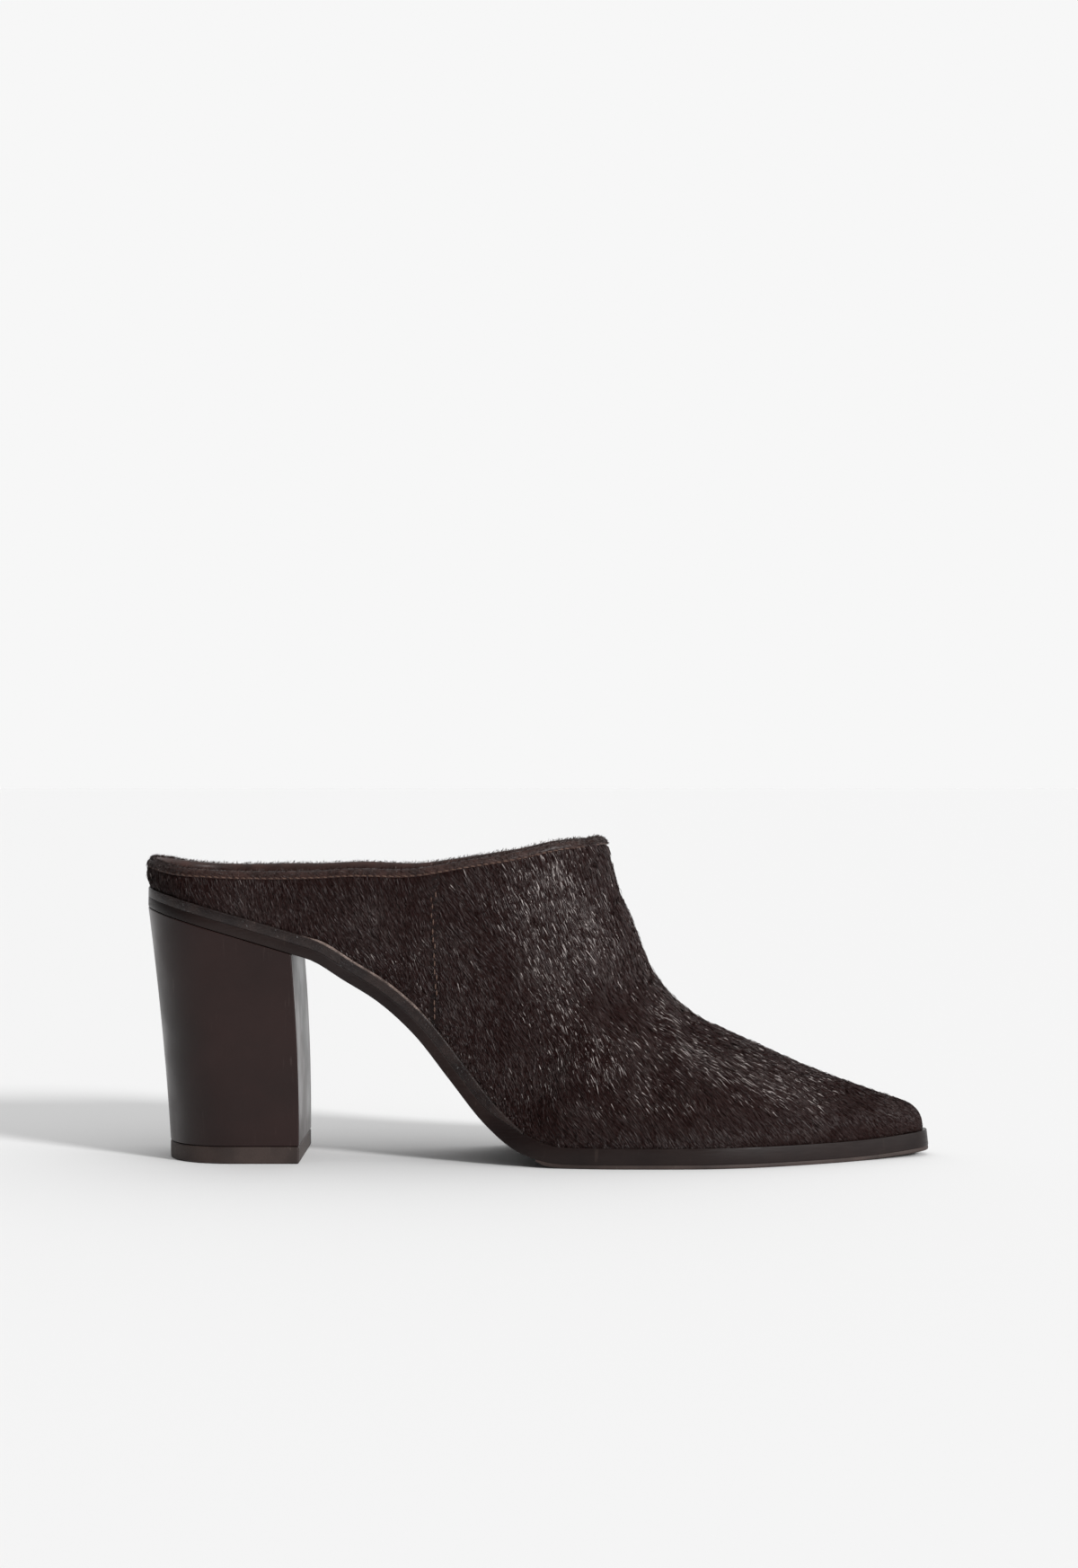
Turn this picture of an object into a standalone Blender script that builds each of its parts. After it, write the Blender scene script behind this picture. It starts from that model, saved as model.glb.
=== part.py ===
"""A right mule pump with a pointed toe and a block heel.

Metres, +Z up, +X to the toe, +Y to the inner (medial) side. The origin is on
the floor, under the middle of the shoe's box.

The outsole is a sheet bent along one side profile. Every layer on it is placed
by how far it lies above the outsole's underside, measured square to it, so the
layers follow when the heel's height or the arch changes.
"""
import math

import bmesh
import bpy
import numpy as np

# Driving dimensions
SOLE_LENGTH = 0.2500
BALL_WIDTH = 0.0808
HEEL_SEAT_HEIGHT = 0.0812
TOE_SPRING = 0.0018
HEEL_ROUND = 0.0250
TOE_ROUND = 0.0050
UPPER_RISE = 0.0660
UPPER_WALL = 0.0020
BINDING_WIDTH = 0.0028
BINDING_STEP = 0.0003
BINDING_GAP = 0.0010
SOLE_LEDGE = 0.0014
INSOLE_THICKNESS = 0.0030
INSOLE_TOE_ROOM = 0.0060
RAND_THICKNESS = 0.0031
RAND_SKIVE = 0.0140
OUTSOLE_THICKNESS = 0.0031
FOREPART_THICKNESS = 0.0051
TREAD_THICKNESS = 0.0010
HEEL_BREAST = 0.0476
HEEL_FOOT_SETBACK = 0.0072
HEEL_FOOT_LENGTH = 0.0428
HEEL_FOOT_WIDTH = 0.0536
HEEL_HOLLOW = 0.0007
LIFT_THICKNESS = 0.0054
TIP_HALF_MINIMUM = 0.0004
GAP = 0.0003

# Where along the sole things begin and end, as shares of its length
RAND_END = 0.468
TREAD_START = 0.496
THIN_FROM = 0.440
THIN_TO = 0.520
SPRING_FROM = 0.880
APEX_AT = 0.372
COLLAR_BLEND_AT = 0.300
THROAT_ROUND = 0.155
HEEL_FLAT = 0.190
HEEL_UPRIGHT_FROM = -0.02
HEEL_UPRIGHT_TO = 0.16
HEEL_WIDEST = 0.090
RAND_END_SHARE = 0.20

# Fineness of the mesh
HEEL_STEPS = 7
TOE_STEPS = 4
SIDE_STEP = 0.0072
UPPER_ROWS = 9
BAND_ROWS = 2
EDGE_ROW = 0.0010
SLOPE_REACH = 0.0040
THROAT_STEP = 0.0022
THROAT_ROOM = 0.006
EDGE_REACH = 0.0005
RAND_STEP_ROOM = 0.0030
RAND_STEP_RUN = 0.0001
HEEL_LEVELS = (0.0, 0.35, 0.7, 1.0)

HEEL_SHAPE = 2.2
TOE_SHAPE = 2.4
BACK = -SOLE_LENGTH / 2
TIP = SOLE_LENGTH / 2
STACK = OUTSOLE_THICKNESS + GAP + RAND_THICKNESS
FLAT_LEVEL = TREAD_THICKNESS + GAP
HALF_BALL = BALL_WIDTH / 2

# The outsole's underside: along is a share of the sole's length from the back,
# height a share of the heel seat's height
UNDERSIDE = """
along  height
-0.050 1.0470
0.000  1.0000
0.100  0.9060
0.190  0.8214
0.215  0.7965
0.255  0.7190
0.298  0.6345
0.343  0.5080
0.388  0.3320
0.433  0.1600
0.468  0.0690
0.492  0.0365
0.522  0.0182
0.555  0.0160
"""

# The sole's outline: half widths as shares of half the ball's width
OUTLINE = """
along  outer  inner
0.000  0.660  0.705
0.090  0.668  0.716
0.200  0.668  0.690
0.280  0.634  0.570
0.350  0.652  0.508
0.420  0.748  0.570
0.480  0.868  0.716
0.540  0.956  0.856
0.600  0.996  0.950
0.650  1.000  0.990
0.700  0.988  1.000
0.760  0.906  0.968
0.810  0.778  0.872
0.860  0.618  0.722
0.910  0.428  0.536
0.950  0.272  0.372
1.000  0.090  0.190
"""

# The upper's sections, from the back round to the toe. A section starts on the
# sole at the share along, and its top lies ahead and up of that place, by shares
# of the sole's length and of the upper's rise. outer and inner are the top's half
# widths about the ridge, which lies at the share middle of the ball's half width,
# and the inner side's top is raised by the share higher. start and fall are the
# lengths of the section's two ends against its height. flare is how far the side
# swings outwards, and shoulder how wide the section is where it turns over.
SECTIONS = """
along  ahead   up     higher outer  inner  middle  start  flare  fall   shoulder
0.000 -0.003   0.116  0.000  0.630  0.680  0.000   0.38   0.045  0.35   0.679
0.030 -0.002   0.120  0.012  0.630  0.680  0.000   0.37   0.040  0.35   0.679
0.090  0.000   0.168  0.026  0.632  0.682  0.000   0.35   0.030  0.35   0.683
0.150  0.014   0.234  0.034  0.644  0.690  0.000   0.35   0.028  0.35   0.698
0.200  0.033   0.300  0.030  0.665  0.695  0.000   0.36   0.035  0.35   0.720
0.240  0.070   0.384  0.018  0.690  0.700  0.006   0.38   0.045  0.34   0.745
0.275  0.108   0.492  0.004  0.700  0.700  0.014   0.40   0.060  0.32   0.740
0.305  0.143   0.630  0.000  0.700  0.700  0.024   0.43   0.075  0.28   0.700
0.335  0.170   0.790  0.000  0.700  0.700  0.034   0.46   0.080  0.20   0.620
0.356  0.182   0.898  0.000  0.700  0.700  0.040   0.48   0.080  0.10   0.540
0.372  0.187   0.990  0.000  0.700  0.700  0.044   0.50   0.080  0.00   0.490
0.396  0.174   0.988  0.000  0.700  0.700  0.046   0.50   0.078  0.00   0.455
0.428  0.156   0.975  0.000  0.700  0.700  0.048   0.50   0.074  0.00   0.440
0.480  0.138   0.900  0.000  0.700  0.700  0.050   0.50   0.066  0.00   0.450
0.532  0.113   0.785  0.000  0.700  0.700  0.052   0.50   0.056  0.00   0.480
0.588  0.084   0.658  0.000  0.700  0.700  0.054   0.50   0.046  0.00   0.515
0.632  0.070   0.566  0.000  0.700  0.700  0.056   0.50   0.040  0.00   0.530
0.700  0.050   0.480  0.000  0.700  0.700  0.058   0.50   0.036  0.00   0.520
0.764  0.037   0.392  0.000  0.700  0.700  0.060   0.50   0.034  0.00   0.480
0.828  0.026   0.306  0.000  0.700  0.700  0.060   0.50   0.032  0.00   0.390
0.904  0.018   0.214  0.000  0.700  0.700  0.056   0.50   0.028  0.00   0.250
0.960  0.006   0.150  0.000  0.700  0.700  0.052   0.50   0.022  0.00   0.130
1.000 -0.018   0.106  0.000  0.700  0.700  0.050   0.55   0.010  0.00   0.040
"""


def read_table(text):
    """Turn a table into a dictionary of columns."""
    names, *rows = [line.split() for line in text.strip().splitlines()]
    values = np.array(rows, float)
    return {name: values[:, i] for i, name in enumerate(names)}


def end_slope(gap_a, gap_b, rate_a, rate_b):
    """The slope at the end of a monotone curve, from its first two spans."""
    slope = ((2 * gap_a + gap_b) * rate_a - gap_a * rate_b) / (gap_a + gap_b)
    if slope * rate_a <= 0:
        return 0.0
    return float(np.clip(slope, -3 * abs(rate_a), 3 * abs(rate_a)))


def smooth_column(table, name):
    """A smooth function through one column, which never overshoots its rows."""
    xs, ys = table["along"], table[name]
    gaps = np.diff(xs)
    rates = np.diff(ys) / gaps
    slopes = np.zeros(len(xs))
    slopes[0] = end_slope(gaps[0], gaps[1], rates[0], rates[1])
    slopes[-1] = end_slope(gaps[-1], gaps[-2], rates[-1], rates[-2])
    for i in range(1, len(xs) - 1):
        if rates[i - 1] * rates[i] > 0:
            a = 2 * gaps[i] + gaps[i - 1]
            b = gaps[i] + 2 * gaps[i - 1]
            slopes[i] = (a + b) / (a / rates[i - 1] + b / rates[i])

    def value(x):
        if x >= xs[-1]:
            return float(ys[-1])
        i = min(max(int(np.searchsorted(xs, x)) - 1, 0), len(gaps) - 1)
        gap = gaps[i]
        t = max((x - xs[i]) / gap, 0.0)
        return float((1 + 2 * t) * (1 - t) ** 2 * ys[i] + t * (1 - t) ** 2 * gap * slopes[i]
                     + t * t * (3 - 2 * t) * ys[i + 1] + t * t * (t - 1) * gap * slopes[i + 1])
    return value


def smooth_table(text):
    table = read_table(text)
    return {name: smooth_column(table, name) for name in table if name != "along"}


UNDER = smooth_table(UNDERSIDE)
PLAN = smooth_table(OUTLINE)
SECTION = smooth_table(SECTIONS)


def smooth_step(low, high, x):
    t = min(max((x - low) / (high - low), 0.0), 1.0)
    return t * t * (3 - 2 * t)


def share(x):
    return (x - BACK) / SOLE_LENGTH


def place(along):
    return BACK + along * SOLE_LENGTH


def underside(x):
    """Height of the outsole's underside. The forepart is flat, then springs."""
    arch = UNDER["height"](share(x)) * HEEL_SEAT_HEIGHT
    lifted = max(arch - UNDER["height"](1.0) * HEEL_SEAT_HEIGHT, 0.0)
    spring = max((share(x) - SPRING_FROM) / (1 - SPRING_FROM), 0.0) ** 2 * TOE_SPRING
    return FLAT_LEVEL + lifted * (1 - FLAT_LEVEL / HEEL_SEAT_HEIGHT) + spring


def upward(x):
    """The way the layers rise, in the side view: square to the underside, and
    straight up at the back, where the layers' edges stand over the heel's."""
    slope = (underside(x + SLOPE_REACH) - underside(x - SLOPE_REACH)) / (2 * SLOPE_REACH)
    length = math.hypot(1.0, slope)
    lean = smooth_step(HEEL_UPRIGHT_FROM, HEEL_UPRIGHT_TO, share(x))
    return np.array([-slope * lean / length, 0.0, 1.0 / length])


def on_sheet(x, y, lift):
    """The point that lies lift above the underside at x, and y to the side."""
    return np.array([x, y, underside(x)]) + upward(x) * lift


def stack_top(x):
    """Thickness of the sole's layers together, thinner under the forepart."""
    blend = smooth_step(THIN_FROM, THIN_TO, share(x))
    return STACK + (FOREPART_THICKNESS - STACK) * blend


def half_width(x, side):
    name = "outer" if side < 0 else "inner"
    return PLAN[name](share(x)) * HALF_BALL


def edge_place(x, side, inset):
    """How far to the side the sole's edge runs at x, moved in by inset."""
    rise = half_width(x + EDGE_REACH, side) - half_width(x - EDGE_REACH, side)
    moved = half_width(x, side) - inset * math.hypot(1.0, rise / (2 * EDGE_REACH))
    return side * max(moved, TIP_HALF_MINIMUM)


def side_places(start, end):
    """Places along the sole between its two rounded ends, evenly over the arch."""
    low = BACK + HEEL_ROUND if start is None else start
    high = TIP - TOE_ROUND if end is None else end
    fine = np.linspace(low, high, 400)
    heights = np.array([underside(x) for x in fine])
    run = np.concatenate([[0.0], np.cumsum(np.hypot(np.diff(fine), np.diff(heights)))])
    count = max(int(round(run[-1] / SIDE_STEP)), 2)
    return list(np.interp(np.linspace(0, run[-1], count + 1), run, fine))


def outline(inset=0.0, start=None, end=None, tip_room=0.0):
    """Pairs of places on the outer and the inner edge, from the back to the tip.

    A start or an end cuts the sole square across; without one it has its own
    rounded heel or toe. Each place is (x, y), inset from the sole's edge.
    """
    stations = []
    middle = side_places(start, end)
    if start is None:
        radius = HEEL_ROUND - inset
        for i in range(HEEL_STEPS):
            angle = math.pi / 2 * i / HEEL_STEPS
            reach = math.cos(angle) ** (2 / HEEL_SHAPE)
            width = math.sin(angle) ** (2 / HEEL_SHAPE)
            stations.append((BACK + inset + radius * (1 - reach), width))
    stations += [(x, 1.0) for x in middle]
    if end is None:
        last = middle[-1]
        radius = TIP - inset - tip_room - last
        for i in range(1, TOE_STEPS + 1):
            angle = math.pi / 2 * i / TOE_STEPS
            reach = math.sin(angle) ** (2 / TOE_SHAPE)
            width = max(math.cos(angle), 0.0) ** (2 / TOE_SHAPE)
            stations.append((last + radius * reach, width if i < TOE_STEPS else 0.0))
    pairs = []
    for x, width in stations:
        pair = [edge_place(x, side, inset) for side in (-1, 1)]
        centre = (pair[0] + pair[1]) / 2
        pairs.append(((x, centre + (pair[0] - centre) * width),
                      (x, centre + (pair[1] - centre) * width)))
    return pairs


def mesh_object(name, vertices, faces, collection, material):
    mesh = bpy.data.meshes.new(name)
    mesh.from_pydata([tuple(v) for v in vertices], [], faces)
    shape = bmesh.new()
    shape.from_mesh(mesh)
    bmesh.ops.remove_doubles(shape, verts=shape.verts, dist=0.00002)
    bmesh.ops.dissolve_degenerate(shape, dist=0.00001, edges=shape.edges)
    bmesh.ops.recalc_face_normals(shape, faces=shape.faces)
    shape.to_mesh(mesh)
    shape.free()
    mesh.shade_smooth()
    mesh.set_sharp_from_angle(angle=math.radians(40))
    mesh.materials.append(material)
    made = bpy.data.objects.new(name, mesh)
    collection.objects.link(made)
    return made


def layered_solid(name, stations, collection, material):
    """A closed solid from stations of four points: outer low and high, inner high and low."""
    vertices = [corner for station in stations for corner in station]
    faces = [(0, 1, 2, 3)]
    for i in range(len(stations) - 1):
        a, b = 4 * i, 4 * i + 4
        for k in range(4):
            n = (k + 1) % 4
            faces.append((a + k, a + n, b + n, b + k))
    last = 4 * (len(stations) - 1)
    faces.append((last, last + 1, last + 2, last + 3))
    return mesh_object(name, vertices, faces, collection, material)


def sheet_layer(name, pairs, low, high, collection, material):
    """A layer of the sole between two lifts, each a function of the place."""
    stations = []
    for (xo, yo), (xi, yi) in pairs:
        stations.append((on_sheet(xo, yo, low(xo)), on_sheet(xo, yo, high(xo)),
                         on_sheet(xi, yi, high(xi)), on_sheet(xi, yi, low(xi))))
    return layered_solid(name, stations, collection, material)


def rand_thickness(x):
    """Full over heel and waist, skived away to a thin end at the ball."""
    end = place(RAND_END)
    full = smooth_step(0.0, RAND_SKIVE, end - x)
    return RAND_THICKNESS * (RAND_END_SHARE + (1 - RAND_END_SHARE) * full)


def make_outsole(collection, material):
    """One sheet from heel to toe, with a step in its top where the rand ends."""
    step = place(RAND_END)
    pairs = [p for p in outline() if abs(p[0][0] - step) > RAND_STEP_ROOM]
    before = [p for p in pairs if p[0][0] < step]
    after = [p for p in pairs if p[0][0] > step]
    for x, rows in ((step + GAP - RAND_STEP_RUN, before), (step + GAP, after)):
        pair = ((x, -half_width(x, -1)), (x, half_width(x, 1)))
        rows.insert(len(rows) if rows is before else 0, pair)

    def top(x):
        if x < step + GAP - RAND_STEP_RUN / 2:
            return stack_top(x) - rand_thickness(min(x, step)) - GAP
        return stack_top(x)
    return sheet_layer("outsole", before + after, lambda x: 0.0, top, collection, material)


def make_rand(collection, material):
    pairs = outline(end=place(RAND_END))
    return sheet_layer("rand", pairs, lambda x: stack_top(x) - rand_thickness(x),
                       stack_top, collection, material)


def make_tread(collection, material):
    """Thin rubber on the forepart, flat on the floor, square at its rear end."""
    pairs = outline(inset=GAP, start=place(TREAD_START))
    return sheet_layer("tread", pairs, lambda x: -GAP - TREAD_THICKNESS, lambda x: -GAP,
                       collection, material)


def make_insole(collection, material):
    inset = SOLE_LEDGE + UPPER_WALL + 2 * GAP
    pairs = outline(inset=inset, tip_room=INSOLE_TOE_ROOM)
    return sheet_layer("insole", pairs, lambda x: stack_top(x) + GAP,
                       lambda x: stack_top(x) + GAP + INSOLE_THICKNESS, collection, material)


def heel_outline(level):
    """The block's outline at a level from 0 at its foot to 1 under the outsole.

    Its top has the outsole's outline, its foot is shorter, and its back is hollow.
    """
    front = place(0.0) + HEEL_BREAST
    foot_scale = HEEL_FOOT_LENGTH / HEEL_BREAST
    widest = HALF_BALL * (PLAN["outer"](HEEL_WIDEST) + PLAN["inner"](HEEL_WIDEST))
    width_scale = 1 + (HEEL_FOOT_WIDTH / widest - 1) * (1 - level)
    setback = HEEL_FOOT_SETBACK * (1 - level) + HEEL_HOLLOW * 4 * level * (1 - level)
    length = HEEL_BREAST * (foot_scale + (1 - foot_scale) * level)
    points = []
    for (xo, yo), (xi, yi) in outline(end=front):
        x = BACK + setback + (xo - BACK) / HEEL_BREAST * length
        points.append((x, yo * width_scale, yi * width_scale))
    return points


def heel_top_height(x):
    """The plane of the outsole's underside over the heel, a gap below it."""
    slope = (underside(place(HEEL_FLAT)) - underside(BACK)) / (place(HEEL_FLAT) - BACK)
    return underside(BACK) + slope * (x - BACK) - GAP * math.hypot(1.0, slope)


def make_heel(collection, block_material, lift_material):
    """The block as rings from its foot to the outsole, and the lift under it."""
    base = LIFT_THICKNESS + GAP
    rings = []
    for level in HEEL_LEVELS:
        ring = heel_outline(level)
        outer = [(x, yo, base + level * (heel_top_height(x) - base)) for x, yo, yi in ring]
        inner = [(x, yi, base + level * (heel_top_height(x) - base)) for x, yo, yi in ring]
        rings.append((outer, inner))
    count = len(rings[0][0])
    vertices = []
    for outer, inner in rings:
        vertices += outer + inner
    faces = []
    for r in range(len(rings) - 1):
        low, high = 2 * count * r, 2 * count * (r + 1)
        for side in (0, count):
            for i in range(side, side + count - 1):
                faces.append((low + i, low + i + 1, high + i + 1, high + i))
        front, opposite = count - 1, 2 * count - 1
        faces.append((low + front, low + opposite, high + opposite, high + front))
    for start in (0, 2 * count * (len(rings) - 1)):
        for i in range(start, start + count - 1):
            faces.append((i, i + 1, i + 1 + count, i + count))
    mesh_object("heel_block", vertices, faces, collection, block_material)

    foot = heel_outline(0.0)
    top = LIFT_THICKNESS
    stations = [((x, yo, 0.0), (x, yo, top), (x, yi, top), (x, yi, 0.0)) for x, yo, yi in foot]
    layered_solid("top_lift", stations, collection, lift_material)


def ridge_direction(along):
    """The way the ridge runs forward over the vamp, in the side view."""
    low, high = max(along - THROAT_ROOM, APEX_AT), min(along + THROAT_ROOM, 1.0)
    run = section_top(high, 1) - section_top(low, 1)
    run[1] = 0.0
    return run / np.linalg.norm(run)


def throat_width(along):
    """The collar's width against its full one: round at the throat, nothing before it."""
    behind = min(max((APEX_AT - along) / THROAT_ROUND, 0.0), 1.0)
    return math.sqrt(1 - (1 - behind) ** 2)


def section_top(along, side):
    """The top of a section: on the collar behind the apex, on the ridge before it."""
    x = place(along)
    base = on_sheet(x, 0.0, stack_top(x) + GAP)
    name = "outer" if side < 0 else "inner"
    lift = SECTION["higher"](along) if side > 0 else 0.0
    half = SECTION[name](along) * HALF_BALL * throat_width(along)
    middle = SECTION["middle"](along) * HALF_BALL
    return np.array([base[0] + SECTION["ahead"](along) * SOLE_LENGTH,
                     middle + side * half,
                     base[2] + (SECTION["up"](along) + lift) * UPPER_RISE])


def shoulder(along, side):
    """How far beyond the section's top its shoulder lies, as a share."""
    own = SECTION["outer" if side < 0 else "inner"](along)
    mean = (SECTION["outer"](along) + SECTION["inner"](along)) / 2
    return SECTION["shoulder"](along) - mean + own * (1 - throat_width(along))


def section_curve(x, y, normal, side, width):
    """A section as four control points, from the sole to the collar or the ridge."""
    along = share(x)
    foot = on_sheet(x, y, stack_top(x) + GAP)
    top = section_top(along, side)
    if along < APEX_AT:
        uneven = (SECTION["inner"](along) - SECTION["outer"](along)) / 2
        centre = (SECTION["middle"](along) + uneven) * HALF_BALL
        top[1] = centre + (top[1] - centre) * width
    span = math.hypot(top[0] - foot[0], top[2] - foot[2])
    down = np.array([foot[0] - top[0], 0.0, foot[2] - top[2]]) / span
    out = np.array([normal[0], normal[1], 0.0])
    blend = smooth_step(COLLAR_BLEND_AT, APEX_AT, along)
    level = np.array([1.0, 0.0, 0.0])
    forward = level * (1 - blend) + ridge_direction(max(along, APEX_AT)) * blend
    over = normal[0] * forward + np.array([0.0, normal[1], 0.0])
    rise = upward(x) * SECTION["start"](along) * span
    first = foot + rise + out * SECTION["flare"](along) * HALF_BALL
    drop = down * SECTION["fall"](along) * span
    second = top + drop + over * shoulder(along, side) * HALF_BALL
    return foot, first, second, top


def on_curve(curve, t):
    a, b, c, d = curve
    s = 1 - t
    return s ** 3 * a + 3 * s * s * t * b + 3 * s * t * t * c + t ** 3 * d


def collar_line(side):
    """The collar's edge in the side view, from behind the heel to ahead of the apex."""
    line = np.array([section_top(a, side)[[0, 2]] for a in np.linspace(0.0, APEX_AT, 50)])
    behind = line[0] + (line[0] - line[1]) * 10
    ahead = line[-1] + (line[-1] - line[-4]) * 10
    return np.vstack([behind, line, ahead])


def below_collar(curve, drop, line):
    """How far up a section the line runs that lies a drop below the collar, at most 1."""
    run = np.gradient(line, axis=0)
    run /= np.linalg.norm(run, axis=1)[:, None]
    lower = line + drop * np.stack([run[:, 1], -run[:, 0]], axis=1)

    def clearance(t):
        point = on_curve(curve, t)
        return np.interp(point[0], lower[:, 0], lower[:, 1]) - point[2]
    if clearance(1.0) >= 0:
        return 1.0
    low, high = 0.0, 1.0
    for _ in range(30):
        half = (low + high) / 2
        if clearance(half) > 0:
            low = half
        else:
            high = half
    return low


def loop_sections():
    """The sections all round, outer side to the tip, then the inner side back."""
    pairs = outline(inset=SOLE_LEDGE)
    extra = [APEX_AT - THROAT_STEP * k * k for k in range(4, 0, -1)]
    extra += [APEX_AT + 2 * THROAT_STEP * k for k in range(5)]
    first, final = extra[0] - THROAT_ROOM, extra[-1] + THROAT_ROOM
    kept = [p for p in pairs if not first < share(p[0][0]) < final]
    for along in extra:
        x = place(along)
        kept.append(tuple((x, edge_place(x, side, SOLE_LEDGE)) for side in (-1, 1)))
    kept.sort(key=lambda pair: pair[0][0])
    last = len(kept) - 1
    loop = [(p[0], -1, i) for i, p in enumerate(kept)]
    loop += [(kept[i][1], 1, i) for i in range(last - 1, 0, -1)]
    curves = []
    for k, (spot, side, i) in enumerate(loop):
        before = np.array(loop[k - 1][0])
        after = np.array(loop[(k + 1) % len(loop)][0])
        run = after - before
        normal = np.array([run[1], -run[0]]) / np.linalg.norm(run)
        x, y = spot
        centre = (kept[i][0][1] + kept[i][1][1]) / 2
        reach = HEEL_ROUND - SOLE_LEDGE
        near = min(max((x - BACK - SOLE_LEDGE) / reach, 0.0), 1.0)
        width = (1 - (1 - near) ** HEEL_SHAPE) ** (1 / HEEL_SHAPE)
        if i == 0:
            normal = np.array([-1.0, 0.0])
        if i == last:
            normal = np.array([1.0, 0.0])
        curves.append((section_curve(x, y, normal, side, width), side))
    return curves


def patch_object(name, columns, collection, material):
    """An open surface from columns of points round the shoe, closed along the ridge."""
    rows = len(columns[0])
    vertices = [point for column in columns for point in column]
    count = len(columns)
    faces = []
    for i in range(count):
        n = (i + 1) % count
        for j in range(rows - 1):
            faces.append((i * rows + j, n * rows + j, n * rows + j + 1, i * rows + j + 1))
    return mesh_object(name, vertices, faces, collection, material)


def make_upper(collection, hide_material, binding_material):
    """The hollow shell and, above it, the binding along the collar."""
    lines = {side: collar_line(side) for side in (-1, 1)}
    body, band = [], []
    for curve, side in loop_sections():
        collar = lines[side]
        start = below_collar(curve, BINDING_WIDTH, collar)
        stop = below_collar(curve, BINDING_WIDTH + BINDING_GAP, collar)
        near = below_collar(curve, BINDING_WIDTH + BINDING_GAP + EDGE_ROW, collar)
        steps = [near * j / UPPER_ROWS for j in range(UPPER_ROWS)] + [near, stop]
        body.append([on_curve(curve, t) for t in steps])
        shares = [start + (1 - start) * j / BAND_ROWS for j in range(BAND_ROWS + 1)]
        band.append([on_curve(curve, t) for t in shares])
    upper = patch_object("upper", body, collection, hide_material)
    solidify(upper, UPPER_WALL, -1.0)
    binding = patch_object("topline_binding", band, collection, binding_material)
    solidify(binding, UPPER_WALL + 2 * BINDING_STEP, -1.0 + 2 * BINDING_STEP / UPPER_WALL)
    return upper, binding


def solidify(thing, thickness, offset):
    wall = thing.modifiers.new("wall", "SOLIDIFY")
    wall.thickness = thickness
    wall.offset = offset
    wall.use_even_offset = True
    wall.use_quality_normals = True
    return wall


def make_material(name, colour, roughness):
    material = bpy.data.materials.new(name)
    material.use_nodes = True
    shader = material.node_tree.nodes["Principled BSDF"]
    shader.inputs["Base Color"].default_value = (*colour, 1.0)
    shader.inputs["Roughness"].default_value = roughness
    shader.inputs["Metallic"].default_value = 0.0
    return material


def main():
    for thing in list(bpy.data.objects):
        bpy.data.objects.remove(thing)
    shoe = bpy.data.collections.new("mule_pump")
    bpy.context.scene.collection.children.link(shoe)
    hide = make_material("hair_on_calf", (0.020, 0.011, 0.010), 0.55)
    binding = make_material("binding_leather", (0.045, 0.020, 0.016), 0.45)
    sock = make_material("sock_leather", (0.110, 0.072, 0.058), 0.50)
    layers = make_material("rand_leather", (0.024, 0.016, 0.015), 0.45)
    sole = make_material("painted_leather", (0.035, 0.026, 0.024), 0.40)
    rubber = make_material("rubber", (0.045, 0.038, 0.036), 0.60)
    block = make_material("heel_paint", (0.030, 0.022, 0.021), 0.30)
    make_upper(shoe, hide, binding)
    make_insole(shoe, sock)
    make_rand(shoe, layers)
    make_outsole(shoe, sole)
    make_tread(shoe, rubber)
    make_heel(shoe, block, rubber)


main()
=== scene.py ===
"""Looks of a right mule pump in dark brown hair-on calf, with a painted block heel.

Metres, +Z up, +X to the toe, +Y to the inner side, as in the frame. The shoe's
form is worked out again from its construction's tables, only finer, and with the
collar 1 to 2 mm higher at the back and around the side seam, as in the photo.
"""
import math

import bmesh
import bpy
import numpy as np
from mathutils import Matrix, Vector


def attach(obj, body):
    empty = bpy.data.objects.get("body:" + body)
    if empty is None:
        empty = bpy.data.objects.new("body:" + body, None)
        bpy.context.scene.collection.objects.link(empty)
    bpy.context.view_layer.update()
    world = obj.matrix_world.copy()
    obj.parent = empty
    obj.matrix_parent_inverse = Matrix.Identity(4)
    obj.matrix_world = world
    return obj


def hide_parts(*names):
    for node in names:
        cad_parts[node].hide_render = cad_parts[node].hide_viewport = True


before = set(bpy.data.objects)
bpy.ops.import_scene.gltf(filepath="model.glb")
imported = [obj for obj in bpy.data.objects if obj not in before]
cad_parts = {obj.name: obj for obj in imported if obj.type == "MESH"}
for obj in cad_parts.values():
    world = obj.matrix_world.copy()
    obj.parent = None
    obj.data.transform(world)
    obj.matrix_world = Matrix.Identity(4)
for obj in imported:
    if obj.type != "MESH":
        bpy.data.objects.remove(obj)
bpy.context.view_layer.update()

# The construction's sizes
SOLE_LENGTH = 0.2500
BALL_WIDTH = 0.0808
HEEL_SEAT_HEIGHT = 0.0812
TOE_SPRING = 0.0018
HEEL_ROUND = 0.0250
TOE_ROUND = 0.0050
UPPER_RISE = 0.0660
UPPER_WALL = 0.0020
SOLE_LEDGE = 0.0014
INSOLE_THICKNESS = 0.0030
INSOLE_TOE_ROOM = 0.0060
RAND_THICKNESS = 0.0031
RAND_SKIVE = 0.0140
OUTSOLE_THICKNESS = 0.0031
FOREPART_THICKNESS = 0.0051
TREAD_THICKNESS = 0.0010
HEEL_BREAST = 0.0476
HEEL_FOOT_SETBACK = 0.0072
HEEL_FOOT_LENGTH = 0.0428
HEEL_FOOT_WIDTH = 0.0536
HEEL_HOLLOW = 0.0007
LIFT_THICKNESS = 0.0054
TIP_HALF_MINIMUM = 0.0004
GAP = 0.0003

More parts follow.
